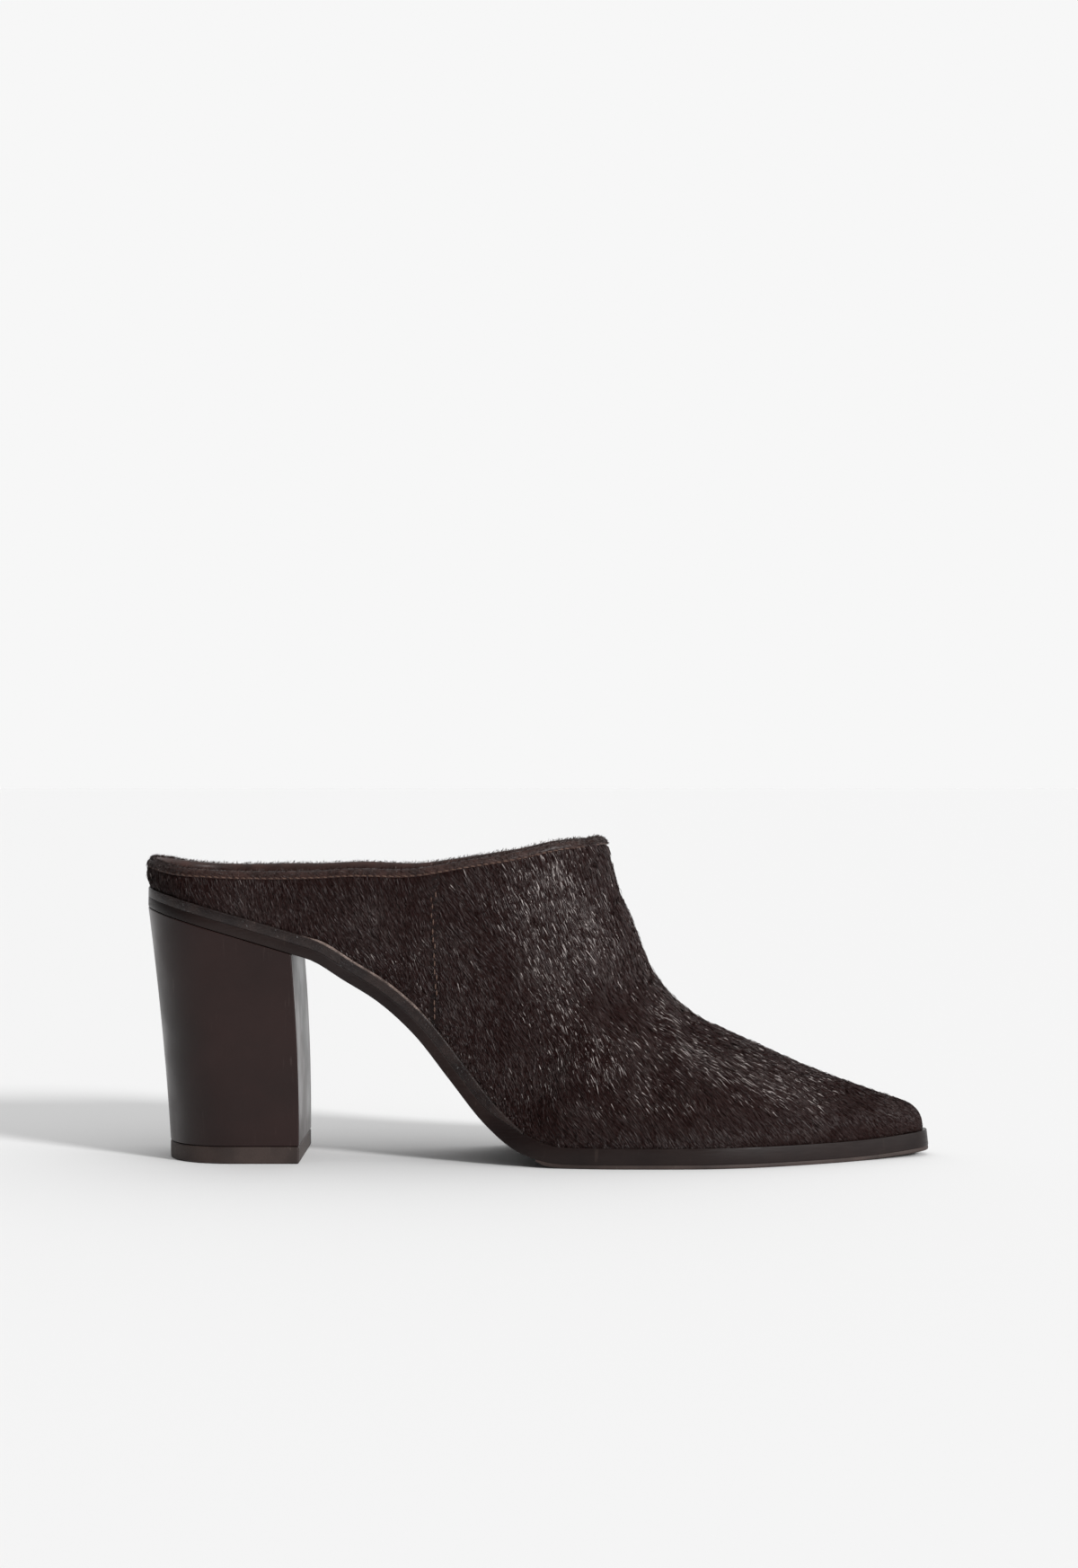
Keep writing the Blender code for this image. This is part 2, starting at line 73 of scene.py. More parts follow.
RAND_END = 0.468
TREAD_START = 0.496
THIN_FROM = 0.440
THIN_TO = 0.520
SPRING_FROM = 0.880
APEX_AT = 0.372
COLLAR_BLEND_AT = 0.300
THROAT_ROUND = 0.155
HEEL_FLAT = 0.190
HEEL_UPRIGHT_FROM = -0.02
HEEL_UPRIGHT_TO = 0.16
HEEL_WIDEST = 0.090
RAND_END_SHARE = 0.20
HEEL_SHAPE = 2.2
TOE_SHAPE = 2.4

BACK = -SOLE_LENGTH / 2
TIP = SOLE_LENGTH / 2
HALF_BALL = BALL_WIDTH / 2
STACK = OUTSOLE_THICKNESS + GAP + RAND_THICKNESS
FLAT_LEVEL = TREAD_THICKNESS + GAP
SLOPE_REACH = 0.0040
THROAT_ROOM = 0.006
EDGE_REACH = 0.0005

# Fineness of the visible meshes
HEEL_STEPS = 26
TOE_STEPS = 12
SIDE_STEP = 0.0014
LAYER_STEP = 0.0030
THROAT_STEP = 0.00016
THROAT_STEPS = 12
HIDE_ROWS = 58

# The rand's raw lip, lighter partly as painted highlight, and the side seam
LIP_FROM = -0.0760
LIP_TO = -0.0380
LIP_HALF = 0.00042
SEAM_X = -0.0342
SEAM_HALF = 0.0007
SEAM_DEPTH = 0.0004

# The hide, its lining, the stitches and the edges
HIDE_THICKNESS = 0.0012
LINING_THICKNESS = 0.0006
LINING_ROOM = 0.00005
COLLAR_STITCH_STEP = 0.0021
COLLAR_STITCH_LENGTH = 0.0017
COLLAR_STITCH_DOWN = 0.00262
COLLAR_STITCH_OUT = 0.00046
COLLAR_THREAD = 0.00052
BINDING_STEP = 0.0012
FUZZ_STEP = 0.0006
THROAT_TURN = (0.030, 0.006)
SEAM_STITCH_STEP = 0.0024
SEAM_STITCH_LENGTH = 0.0018
SEAM_STITCH_AHEAD = 0.0013
SEAM_STITCH_OUT = 0.00012
SEAM_THREAD = 0.00050
SEAM_STITCH_REACH = 0.0030
SEAM_FOOT_ROOM = 0.004
SEAM_TOP_ROOM = 0.003
LIP_TAPER = 0.0060
LIP_INSET = 0.00035
HEEL_BEVEL = 0.0004
LIFT_BEVEL = 0.0006
SOLE_STEP_RUN = 0.0001
MERGE_DISTANCE = 0.00001
SLIVER = 0.000002
SHARP_ANGLE = math.radians(40)
BEVEL_ANGLE = math.radians(35)
HIDE_DROP = 0.0016
FOOT_TURN_IN = 0.0012
HAIR_SEED = 11
MILLIMETRE = 0.001

# The hair: how many hairs on each part, where its front begins, and its spread
OUTER_HAIRS = 96000
INNER_FRONT_HAIRS = 70000
INNER_BACK_HAIRS = 60000
FUZZ_HAIRS = 13000
FRONT_FROM = 0.012
LAY_WANDER = math.radians(9)
LAY_RIPPLE = math.radians(5)
LAY_SPREAD = math.radians(7)
ROLL_SPREAD = 0.55
ROOT_DEPTH = 0.00008
HAIR_WIDTH = (0.00016, 0.00030)
SEAM_PART_AHEAD = 0.0012
SEAM_PART_HALF = 0.0016
TUFTED_BACK = (-0.114, -0.122)
# Each hair's shade; the lighter hairs, and the chance of them, are painted sheen
SHADE_MEAN = 0.16
SHADE_SPREAD = 0.07
SHEEN_HAIR_LIFT = (0.20, 0.84)
SHEEN_HAIR_CHANCE = 0.02
SHEEN_HAIR_CHANCE_PER_GAIN = 0.46

# The fuzz on the folded edge, in metres but for its reach and length in millimetres
FUZZ_BACK = (-0.105, -0.122)
FUZZ_FRONT = (0.008, 0.018)
FUZZ_REACH = 2.4
FUZZ_LENGTH = (0.5, 1.35)
FUZZ_WIDTH = (0.00010, 0.00018)

UNDERSIDE = """
along  height
-0.050 1.0470
0.000  1.0000
0.100  0.9060
0.190  0.8214
0.215  0.7965
0.255  0.7190
0.298  0.6345
0.343  0.5080
0.388  0.3320
0.433  0.1600
0.468  0.0690
0.492  0.0365
0.522  0.0182
0.555  0.0160
"""

OUTLINE = """
along  outer  inner
0.000  0.660  0.705
0.090  0.668  0.716
0.200  0.668  0.690
0.280  0.634  0.570
0.350  0.652  0.508
0.420  0.748  0.570
0.480  0.868  0.716
0.540  0.956  0.856
0.600  0.996  0.950
0.650  1.000  0.990
0.700  0.988  1.000
0.760  0.906  0.968
0.810  0.778  0.872
0.860  0.618  0.722
0.910  0.428  0.536
0.950  0.272  0.372
1.000  0.090  0.190
"""

SECTIONS = """
along  ahead   up     higher outer  inner  middle  start  flare  fall   shoulder
0.000 -0.003   0.142  0.000  0.630  0.680  0.000   0.38   0.045  0.35   0.679
0.030 -0.002   0.144  0.008  0.630  0.680  0.000   0.37   0.040  0.35   0.679
0.090  0.000   0.188  0.010  0.632  0.682  0.000   0.35   0.030  0.35   0.683
0.150  0.014   0.250  0.018  0.644  0.690  0.000   0.35   0.028  0.35   0.698
0.200  0.033   0.316  0.014  0.665  0.695  0.000   0.36   0.035  0.35   0.720
0.240  0.070   0.404  0.008  0.690  0.700  0.006   0.38   0.045  0.34   0.745
0.275  0.108   0.522  0.000  0.700  0.700  0.014   0.40   0.060  0.32   0.740
0.305  0.143   0.646  0.000  0.700  0.700  0.024   0.43   0.075  0.28   0.700
0.335  0.170   0.805  0.000  0.700  0.700  0.034   0.46   0.080  0.20   0.620
0.356  0.182   0.908  0.000  0.700  0.700  0.040   0.48   0.080  0.10   0.540
0.372  0.187   0.990  0.000  0.700  0.700  0.044   0.50   0.080  0.00   0.490
0.396  0.174   0.988  0.000  0.700  0.700  0.046   0.50   0.078  0.00   0.455
0.428  0.156   0.975  0.000  0.700  0.700  0.048   0.50   0.074  0.00   0.440
0.480  0.138   0.900  0.000  0.700  0.700  0.050   0.50   0.066  0.00   0.450
0.532  0.113   0.785  0.000  0.700  0.700  0.052   0.50   0.056  0.00   0.480
0.588  0.084   0.658  0.000  0.700  0.700  0.054   0.50   0.046  0.00   0.515
0.632  0.070   0.566  0.000  0.700  0.700  0.056   0.50   0.040  0.00   0.530
0.700  0.050   0.480  0.000  0.700  0.700  0.058   0.50   0.036  0.00   0.520
0.764  0.037   0.392  0.000  0.700  0.700  0.060   0.50   0.034  0.00   0.480
0.828  0.026   0.306  0.000  0.700  0.700  0.060   0.50   0.032  0.00   0.390
0.904  0.018   0.214  0.000  0.700  0.700  0.056   0.50   0.028  0.00   0.250
0.960  0.006   0.150  0.000  0.700  0.700  0.052   0.50   0.022  0.00   0.130
1.000 -0.018   0.106  0.000  0.700  0.700  0.050   0.55   0.010  0.00   0.040
"""

# Creases and hollows in the upper, in the side view in millimetres: the middle x and
# z, the half length, the half width, the turn of the length from +X in degrees, and
# the depth inwards. side is -1 on the outer side, 1 on the inner one.
CREASES = """
x      z     length  width  turn  depth  side
36.5   38.5  15.0    3.2    94    0.80   -1
42.5   39.0  13.0    3.0    98   -0.45   -1
49.0   35.0  9.0     3.2    112   0.70   -1
-12.0  66.0  8.0     4.5    70    0.55   -1
20.0   55.0  11.0    6.5    75    0.70   -1
66.0   20.0  9.0     6.0    150   0.35   -1
2.0    84.0  12.0    8.0    60   -0.40   -1
-60.0  80.0  22.0    4.0    4     0.45   -1
36.0   40.0  13.0    3.4    92    0.75    1
44.0   37.0  12.0    3.0    100  -0.45    1
52.0   33.0  9.0     3.4    115   0.65    1
14.0   58.0  12.0    7.0    78    0.60    1
-58.0  82.0  22.0    4.5    4     0.45    1
"""

# How the hair lies: its angle below level in the side view, along the shoe in
# millimetres, and its length in millimetres
HAIR_LAY = """
along   angle  length
-126.0  70     2.6
-70.0   68     3.4
-25.0   66     3.8
15.0    61     4.2
45.0    52     4.2
75.0    43     3.6
105.0   38     2.8
126.0   36     1.4
"""

# Painted sheen and painted shade on the coat: where the hairs are painted lighter for the light they
# catch, and darker in the creases, the hollows and along the foot, in the side view in millimetres: the
# middle, the half sizes, the turn in degrees and the strength
PAINTED_SHEEN_AND_SHADE = """
x      z     length  width  turn  gain
-2.0   86.0  16.0    9.0    -80   0.20
13.0   76.0  20.0    6.0    -66   0.42
2.0    60.0  24.0    8.0    -62   0.20
16.0   36.0  22.0    8.0    -48   0.18
40.0   43.0  10.0    3.5    -75   0.30
74.0   25.0  28.0    6.0    -20   0.32
50.0   33.0  12.0    4.0    -45   0.25
-14.0  67.0  12.0    5.0    -75  -0.22
20.0   55.0  10.0    6.0    -70  -0.20
-70.0  82.0  45.0    9.0    -4   -0.16
40.0   12.0  90.0    5.0    0    -0.22
100.0  13.0  26.0    9.0    -20  -0.15
-20.0  45.0  14.0    8.0    -50  -0.15
"""

# The binding's section, in millimetres: down from the collar's edge along the wall,
# and out from the hide's face
BINDING_SECTION = """
along  down   out
0      2.90   0.02
1      2.98   0.22
2      2.80   0.42
3      2.10   0.52
4      1.30   0.50
5      0.72   0.30
6      0.28  -0.10
7      0.06  -0.62
8      0.06  -1.16
9      0.30  -1.70
10     0.80  -2.14
11     1.60  -2.36
12     3.20  -2.40
13     4.80  -2.36
14     4.90  -2.10
15     1.90  -1.86
16     1.70  -0.90
17     1.70   0.00
"""


def read_table(text):
    names, *rows = [line.split() for line in text.strip().splitlines()]
    values = np.array(rows, float)
    return {name: values[:, i] for i, name in enumerate(names)}


def end_slope(gap_a, gap_b, rate_a, rate_b):
    slope = ((2 * gap_a + gap_b) * rate_a - gap_a * rate_b) / (gap_a + gap_b)
    if slope * rate_a <= 0:
        return 0.0
    return float(np.clip(slope, -3 * abs(rate_a), 3 * abs(rate_a)))


def smooth_column(table, name):
    """A smooth function through one column, which never overshoots its rows."""
    xs, ys = table["along"], table[name]
    gaps = np.diff(xs)
    rates = np.diff(ys) / gaps
    slopes = np.zeros(len(xs))
    slopes[0] = end_slope(gaps[0], gaps[1], rates[0], rates[1])
    slopes[-1] = end_slope(gaps[-1], gaps[-2], rates[-1], rates[-2])
    for i in range(1, len(xs) - 1):
        if rates[i - 1] * rates[i] > 0:
            a = 2 * gaps[i] + gaps[i - 1]
            b = gaps[i] + 2 * gaps[i - 1]
            slopes[i] = (a + b) / (a / rates[i - 1] + b / rates[i])

    def value(x):
        if x >= xs[-1]:
            return float(ys[-1])
        i = min(max(int(np.searchsorted(xs, x)) - 1, 0), len(gaps) - 1)
        gap = gaps[i]
        t = max((x - xs[i]) / gap, 0.0)
        return float((1 + 2 * t) * (1 - t) ** 2 * ys[i] + t * (1 - t) ** 2 * gap * slopes[i]
                     + t * t * (3 - 2 * t) * ys[i + 1] + t * t * (t - 1) * gap * slopes[i + 1])
    return value


def smooth_table(text):
    table = read_table(text)
    return {name: smooth_column(table, name) for name in table if name != "along"}


UNDER = smooth_table(UNDERSIDE)
PLAN = smooth_table(OUTLINE)
SECTION = smooth_table(SECTIONS)


def smooth_step(low, high, x):
    t = np.clip((x - low) / (high - low), 0.0, 1.0)
    return t * t * (3 - 2 * t)


def unit(vectors):
    return vectors / np.maximum(np.linalg.norm(vectors, axis=-1, keepdims=True), 1e-12)


def share(x):
    return (x - BACK) / SOLE_LENGTH


def place(along):
    return BACK + along * SOLE_LENGTH


def underside(x):
    """Height of the outsole's underside. The forepart is flat, then springs."""
    arch = UNDER["height"](share(x)) * HEEL_SEAT_HEIGHT
    lifted = max(arch - UNDER["height"](1.0) * HEEL_SEAT_HEIGHT, 0.0)
    spring = max((share(x) - SPRING_FROM) / (1 - SPRING_FROM), 0.0) ** 2 * TOE_SPRING
    return FLAT_LEVEL + lifted * (1 - FLAT_LEVEL / HEEL_SEAT_HEIGHT) + spring


def upward(x):
    """The way the layers rise: square to the underside, straight up at the back."""
    slope = (underside(x + SLOPE_REACH) - underside(x - SLOPE_REACH)) / (2 * SLOPE_REACH)
    length = math.hypot(1.0, slope)
    lean = smooth_step(HEEL_UPRIGHT_FROM, HEEL_UPRIGHT_TO, share(x))
    return np.array([-slope * lean / length, 0.0, 1.0 / length])


def on_sheet(x, y, lift):
    """The point that lies lift above the underside at x, and y to the side."""
    return np.array([x, y, underside(x)]) + upward(x) * lift


def stack_top(x):
    """Thickness of the sole's layers together, thinner under the forepart."""
    return STACK + (FOREPART_THICKNESS - STACK) * smooth_step(THIN_FROM, THIN_TO, share(x))


def half_width(x, side):
    return PLAN["outer" if side < 0 else "inner"](share(x)) * HALF_BALL


def edge_place(x, side, inset):
    """How far to the side the sole's edge runs at x, moved in by inset."""
    rise = half_width(x + EDGE_REACH, side) - half_width(x - EDGE_REACH, side)
    moved = half_width(x, side) - inset * math.hypot(1.0, rise / (2 * EDGE_REACH))
    return side * max(moved, TIP_HALF_MINIMUM)


def side_places(start, end, step):
    """Places along the sole between its two rounded ends, evenly over the arch."""
    low = BACK + HEEL_ROUND if start is None else start
    high = TIP - TOE_ROUND if end is None else end
    fine = np.linspace(low, high, 600)
    heights = np.array([underside(x) for x in fine])
    run = np.concatenate([[0.0], np.cumsum(np.hypot(np.diff(fine), np.diff(heights)))])
    count = max(int(round(run[-1] / step)), 2)
    return list(np.interp(np.linspace(0, run[-1], count + 1), run, fine))


def outline(inset=0.0, start=None, end=None, tip_room=0.0, step=LAYER_STEP, extra=()):
    """Pairs of places on the outer and the inner edge, from the back to the tip.

    A start or an end cuts the sole square across; without one it has its own
    rounded heel or toe. Each place is (x, y), inset from the sole's edge.
    """
    stations = []
    middle = side_places(start, end, step)
    if start is None:
        radius = HEEL_ROUND - inset
        for i in range(HEEL_STEPS):
            angle = math.pi / 2 * i / HEEL_STEPS
            reach = math.cos(angle) ** (2 / HEEL_SHAPE)
            stations.append((BACK + inset + radius * (1 - reach), math.sin(angle) ** (2 / HEEL_SHAPE)))
    near = [x for x in middle if all(abs(x - e) > step / 3 for e in extra)]
    stations += [(x, 1.0) for x in sorted(near + list(extra))]
    if end is None:
        last = middle[-1]
        radius = TIP - inset - tip_room - last
        for i in range(1, TOE_STEPS + 1):
            angle = math.pi / 2 * i / TOE_STEPS
            width = max(math.cos(angle), 0.0) ** (2 / TOE_SHAPE)
            reach = math.sin(angle) ** (2 / TOE_SHAPE)
            stations.append((last + radius * reach, width if i < TOE_STEPS else 0.0))
    pairs = []
    for x, width in stations:
        pair = [edge_place(x, side, inset) for side in (-1, 1)]
        centre = (pair[0] + pair[1]) / 2
        pairs.append(((x, centre + (pair[0] - centre) * width),
                      (x, centre + (pair[1] - centre) * width)))
    return pairs


def ridge_direction(along):
    """The way the ridge runs forward over the vamp, in the side view."""
    low, high = max(along - THROAT_ROOM, APEX_AT), min(along + THROAT_ROOM, 1.0)
    run = section_top(high, 1) - section_top(low, 1)
    run[1] = 0.0
    return unit(run)


def throat_width(along):
    """The collar's width against its full one: round at the throat."""
    behind = min(max((APEX_AT - along) / THROAT_ROUND, 0.0), 1.0)
    return math.sqrt(1 - (1 - behind) ** 2)


def section_top(along, side):
    """The top of a section: on the collar behind the apex, on the ridge before it."""
    x = place(along)
    base = on_sheet(x, 0.0, stack_top(x) + GAP)
    lift = SECTION["higher"](along) if side > 0 else 0.0
    half = SECTION["outer" if side < 0 else "inner"](along) * HALF_BALL * throat_width(along)
    return np.array([base[0] + SECTION["ahead"](along) * SOLE_LENGTH,
                     SECTION["middle"](along) * HALF_BALL + side * half,
                     base[2] + (SECTION["up"](along) + lift) * UPPER_RISE])


def shoulder(along, side):
    """How far beyond the section's top its shoulder lies, as a share."""
    own = SECTION["outer" if side < 0 else "inner"](along)
    mean = (SECTION["outer"](along) + SECTION["inner"](along)) / 2
    return SECTION["shoulder"](along) - mean + own * (1 - throat_width(along))


def section_curve(x, y, normal, side, width):
    """A section as four control points, from the sole to the collar or the ridge."""
    along = share(x)
    foot = on_sheet(x, y, stack_top(x) + GAP)
    top = section_top(along, side)
    if along < APEX_AT:
        uneven = (SECTION["inner"](along) - SECTION["outer"](along)) / 2
        centre = (SECTION["middle"](along) + uneven) * HALF_BALL
        top[1] = centre + (top[1] - centre) * width
    span = math.hypot(top[0] - foot[0], top[2] - foot[2])
    down = np.array([foot[0] - top[0], 0.0, foot[2] - top[2]]) / span
    out = np.array([normal[0], normal[1], 0.0])
    blend = smooth_step(COLLAR_BLEND_AT, APEX_AT, along)
    level = np.array([1.0, 0.0, 0.0])
    forward = level * (1 - blend) + ridge_direction(max(along, APEX_AT)) * blend
    over = normal[0] * forward + np.array([0.0, normal[1], 0.0])
    rise = upward(x) * SECTION["start"](along) * span
    first = foot + rise + out * SECTION["flare"](along) * HALF_BALL
    drop = down * SECTION["fall"](along) * span
    second = top + drop + over * shoulder(along, side) * HALF_BALL
    return foot, first, second, top


def on_curve(curve, t):
    a, b, c, d = (np.asarray(p) for p in curve)
    t = np.asarray(t, float)[..., None]
    s = 1 - t
    return s ** 3 * a + 3 * s * s * t * b + 3 * s * t * t * c + t ** 3 * d


def line_below_collar(side, drop):
    """The line that lies a drop below the collar's edge, in the side view."""
    line = np.array([section_top(a, side)[[0, 2]] for a in np.linspace(0.0, APEX_AT, 50)])
    behind = line[0] + (line[0] - line[1]) * 10
    ahead = line[-1] + (line[-1] - line[-4]) * 10
    line = np.vstack([behind, line, ahead])
    run = np.gradient(line, axis=0)
    run = unit(run)
    return line + drop * np.stack([run[:, 1], -run[:, 0]], axis=1)


def share_below(curve, line):
    """How far up a section the line lies, at most 1."""
    def clearance(t):
        point = on_curve(curve, t)
        return np.interp(point[0], line[:, 0], line[:, 1]) - point[2]
    if clearance(1.0) >= 0:
        return 1.0
    low, high = 0.0, 1.0
    for _ in range(26):
        half = (low + high) / 2
        if clearance(half) > 0:
            low = half
        else:
            high = half
    return low


def loop_sections():
    """The sections all round, outer side to the tip, then the inner side back."""
    pairs = outline(inset=SOLE_LEDGE, step=SIDE_STEP)
    steps = range(1, THROAT_STEPS + 1)
    extra = [APEX_AT - THROAT_STEP * k * k for k in reversed(steps)]
    extra += [APEX_AT + THROAT_STEP * k * (k + 2) for k in range(THROAT_STEPS)]
    first, final = extra[0] - 0.003, extra[-1] + 0.003
    kept = [p for p in pairs if not first < share(p[0][0]) < final]
    for along in extra:
        x = place(along)
        kept.append(tuple((x, edge_place(x, side, SOLE_LEDGE)) for side in (-1, 1)))
    kept.sort(key=lambda pair: pair[0][0])
    last = len(kept) - 1
    loop = [(p[0], -1, i) for i, p in enumerate(kept)]
    loop += [(kept[i][1], 1, i) for i in range(last - 1, 0, -1)]
    curves = []
    for k, (spot, side, i) in enumerate(loop):
        before = np.array(loop[k - 1][0])
        after = np.array(loop[(k + 1) % len(loop)][0])
        run = after - before
        normal = np.array([run[1], -run[0]]) / np.linalg.norm(run)
        x, y = spot
        reach = HEEL_ROUND - SOLE_LEDGE
        near = min(max((x - BACK - SOLE_LEDGE) / reach, 0.0), 1.0)
        width = (1 - (1 - near) ** HEEL_SHAPE) ** (1 / HEEL_SHAPE)
        if i == 0:
            normal = np.array([-1.0, 0.0])
        if i == last:
            normal = np.array([1.0, 0.0])
        curves.append((section_curve(x, y, normal, side, width), side, share(x)))
    return curves


LOOP = loop_sections()


def grid_normals(points):
    """Outward normals of a grid whose columns run round the shoe and rows upwards."""
    along = np.roll(points, -1, 0) - np.roll(points, 1, 0)
    up = np.gradient(points, axis=1)
    normals = np.cross(along, up)
    for _ in range(2):
        normals += np.roll(normals, 1, 0) + np.roll(normals, -1, 0)
    return unit(normals)


def crease_depth(points, normals):
    """How deep the creases and hollows lie at each point, along its normal."""
    table = read_table(CREASES)
    depth = np.zeros(points.shape[:2])
    for x, z, length, width, turn, deep, side in zip(*table.values()):
        dx = points[..., 0] - x * MILLIMETRE
        dz = points[..., 2] - z * MILLIMETRE
        c, s = math.cos(math.radians(turn)), math.sin(math.radians(turn))
        a = (dx * c + dz * s) / (length * MILLIMETRE)
        b = (dz * c - dx * s) / (width * MILLIMETRE)
        facing = smooth_step(0.15, 0.6, side * normals[..., 1])
        depth += deep * MILLIMETRE * np.exp(-a * a - b * b) * facing
    return depth


def hide_grid():
    """The hide's outer face: columns round the shoe, rows from the sole upwards."""
    lines = {side: line_below_collar(side, HIDE_DROP) for side in (-1, 1)}
    shares = np.linspace(0.0, 1.0, HIDE_ROWS)
    points = np.array([on_curve(curve, shares * share_below(curve, lines[side]))
                       for curve, side, _ in LOOP])
    normals = grid_normals(points)
    depth = crease_depth(points, normals)
    away = (points[..., 0] - SEAM_X) / SEAM_HALF
    depth += SEAM_DEPTH * np.exp(-away * away) * (np.abs(normals[..., 1]) > 0.5)
    depth *= smooth_step(0.0, 0.10, shares)[None, :]
    points = points - normals * depth[..., None]
    return points, grid_normals(points)


HIDE, HIDE_NORMALS = hide_grid()


def run_lengths(points):
    """Lengths along the columns' feet and up each column, for a piece's own UV map."""
    feet = np.linalg.norm(np.diff(points[:, 0], axis=0, append=points[:1, 0]), axis=1)
    round_it = np.concatenate([[0.0], np.cumsum(feet)])
    rises = np.linalg.norm(np.diff(points, axis=1), axis=2)
    up = np.concatenate([np.zeros((len(points), 1)), np.cumsum(rises, axis=1)], axis=1)
    return round_it, up


def laid_grid(name, points, close_round=True, close_up=False):
    """A grid laid on the points, closed round the shoe or round its section."""
    round_it, up = run_lengths(points)
    if close_round:
        points = np.concatenate([points, points[:1]])
        up = np.concatenate([up, up[:1]])
    if close_up:
        points = np.concatenate([points, points[:, :1]], axis=1)
        up = np.concatenate([up, up[:, -1:] + MILLIMETRE], axis=1)
    columns, rows = points.shape[:2]
    shape = bmesh.new()
    bmesh.ops.create_grid(shape, x_segments=columns - 1, y_segments=rows - 1, size=0.5)
    own = shape.loops.layers.uv.new("lengths")
    spots = {}
    for vertex in shape.verts:
        i = int(round((vertex.co.x + 0.5) * (columns - 1)))
        j = int(round((vertex.co.y + 0.5) * (rows - 1)))
        spots[vertex] = (i, j)
    for face in shape.faces:
        for corner in face.loops:
            i, j = spots[corner.vert]
            corner[own].uv = (round_it[i], up[i, j])
    for vertex, (i, j) in spots.items():
        vertex.co = points[i, j]
    bmesh.ops.remove_doubles(shape, verts=shape.verts, dist=MERGE_DISTANCE)
    bmesh.ops.dissolve_degenerate(shape, dist=SLIVER, edges=shape.edges)
    return finished(name, shape)


def finished(name, shape):
    """Turn a bmesh into a smooth-shaded piece in the scene."""
    bmesh.ops.recalc_face_normals(shape, faces=shape.faces)
    mesh = bpy.data.meshes.new(name)
    shape.to_mesh(mesh)
    shape.free()
    mesh.shade_smooth()
    mesh.set_sharp_from_angle(angle=SHARP_ANGLE)
    piece = bpy.data.objects.new(name, mesh)
    bpy.context.scene.collection.objects.link(piece)
    return piece


def wall(piece, thickness):
    """Give an open face its thickness, inwards."""
    made = piece.modifiers.new("wall", "SOLIDIFY")
    made.thickness = thickness
    made.offset = -1.0
    made.use_even_offset = True
    return piece


def dress(piece, material, slot, *nodes):
    """A piece's material, and what it stands for; slot is not used."""
    piece.data.materials.clear()
    piece.data.materials.append(material)
    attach(piece, "root")
    if nodes:
        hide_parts(*nodes)


def make_hide():
    """The hide, with its foot turned in under the shoe."""
    turned = HIDE[:, :1] - HIDE_NORMALS[:, :1] * FOOT_TURN_IN
    turned[..., 2] -= GAP * 0.6
    half = HIDE[:, :1] - HIDE_NORMALS[:, :1] * FOOT_TURN_IN * 0.3
    half[..., 2] -= GAP * 0.4
    return wall(laid_grid("hide", np.concatenate([turned, half, HIDE], axis=1)), HIDE_THICKNESS)


def make_lining():
    inner = HIDE - HIDE_NORMALS * (HIDE_THICKNESS + LINING_ROOM)
    return wall(laid_grid("lining", inner), LINING_THICKNESS)


def collar_frames(spacing):
    """Even places on the collar's edge all round: point, outward, downward and along."""
    spots = [(c[3], c[3] - c[2], a) for c, _, a in LOOP if a <= APEX_AT + 1e-9]
    tops = np.array([s[0] for s in spots])
    downs = unit(-np.array([s[1] for s in spots]))
    near = smooth_step(*THROAT_TURN, np.linalg.norm(tops - section_top(APEX_AT, 1), axis=1))
    downs = downs * (1 - near)[:, None] + ridge_direction(APEX_AT) * near[:, None]
    steps = np.linalg.norm(np.diff(tops, axis=0, append=tops[:1]), axis=1)
    keep = np.concatenate([[True], steps[:-1] > 1e-6])
    tops, downs = tops[keep], downs[keep]
    ring = np.vstack([tops, tops[:1]])
    rings = np.vstack([downs, downs[:1]])
    run = np.concatenate([[0.0], np.cumsum(np.linalg.norm(np.diff(ring, axis=0), axis=1))])
    count = int(round(run[-1] / spacing))
    at = np.linspace(0, run[-1], count, endpoint=False)
    point = np.stack([np.interp(at, run, ring[:, k]) for k in range(3)], axis=1)
    down = np.stack([np.interp(at, run, rings[:, k]) for k in range(3)], axis=1)
    for _ in range(4):
        down = down + np.roll(down, 1, 0) + np.roll(down, -1, 0)
        point = (point * 2 + np.roll(point, 1, 0) + np.roll(point, -1, 0)) / 4
    along = unit(np.roll(point, -1, 0) - np.roll(point, 1, 0))
    out = unit(np.cross(along, -down))
    down = unit(np.cross(out, -along))
    return point, out, down, along


def make_binding():
    """The folded strip round the collar, swept round its edge."""
    point, out, down, _ = collar_frames(BINDING_STEP)
    table = read_table(BINDING_SECTION)
    columns = point[:, None] + (down[:, None] * table["down"][None, :, None]
                                + out[:, None] * table["out"][None, :, None]) * MILLIMETRE
    return laid_grid("binding", columns, close_up=True)


def stitch(shape, middle, along, out, length, thick):
    """One stitch: a short thread that dips in at both ends."""
    side = np.cross(out, along)
    turn = Matrix((along * length / 2, side * thick / 2, out * thick / 2)).transposed().to_4x4()
    turn.translation = Vector(middle)
    bmesh.ops.create_uvsphere(shape, u_segments=8, v_segments=6, radius=1.0,
                              matrix=turn @ Matrix.Rotation(math.pi / 2, 4, "Y"))


def make_collar_stitches():
    shape = bmesh.new()
    point, out, down, along = collar_frames(COLLAR_STITCH_STEP)
    for p, o, d, a in zip(point, out, down, along):
        middle = p + d * COLLAR_STITCH_DOWN + o * COLLAR_STITCH_OUT
        stitch(shape, middle, a * 0.985 + d * 0.17, o, COLLAR_STITCH_LENGTH, COLLAR_THREAD)
    return finished("collar_stitches", shape)


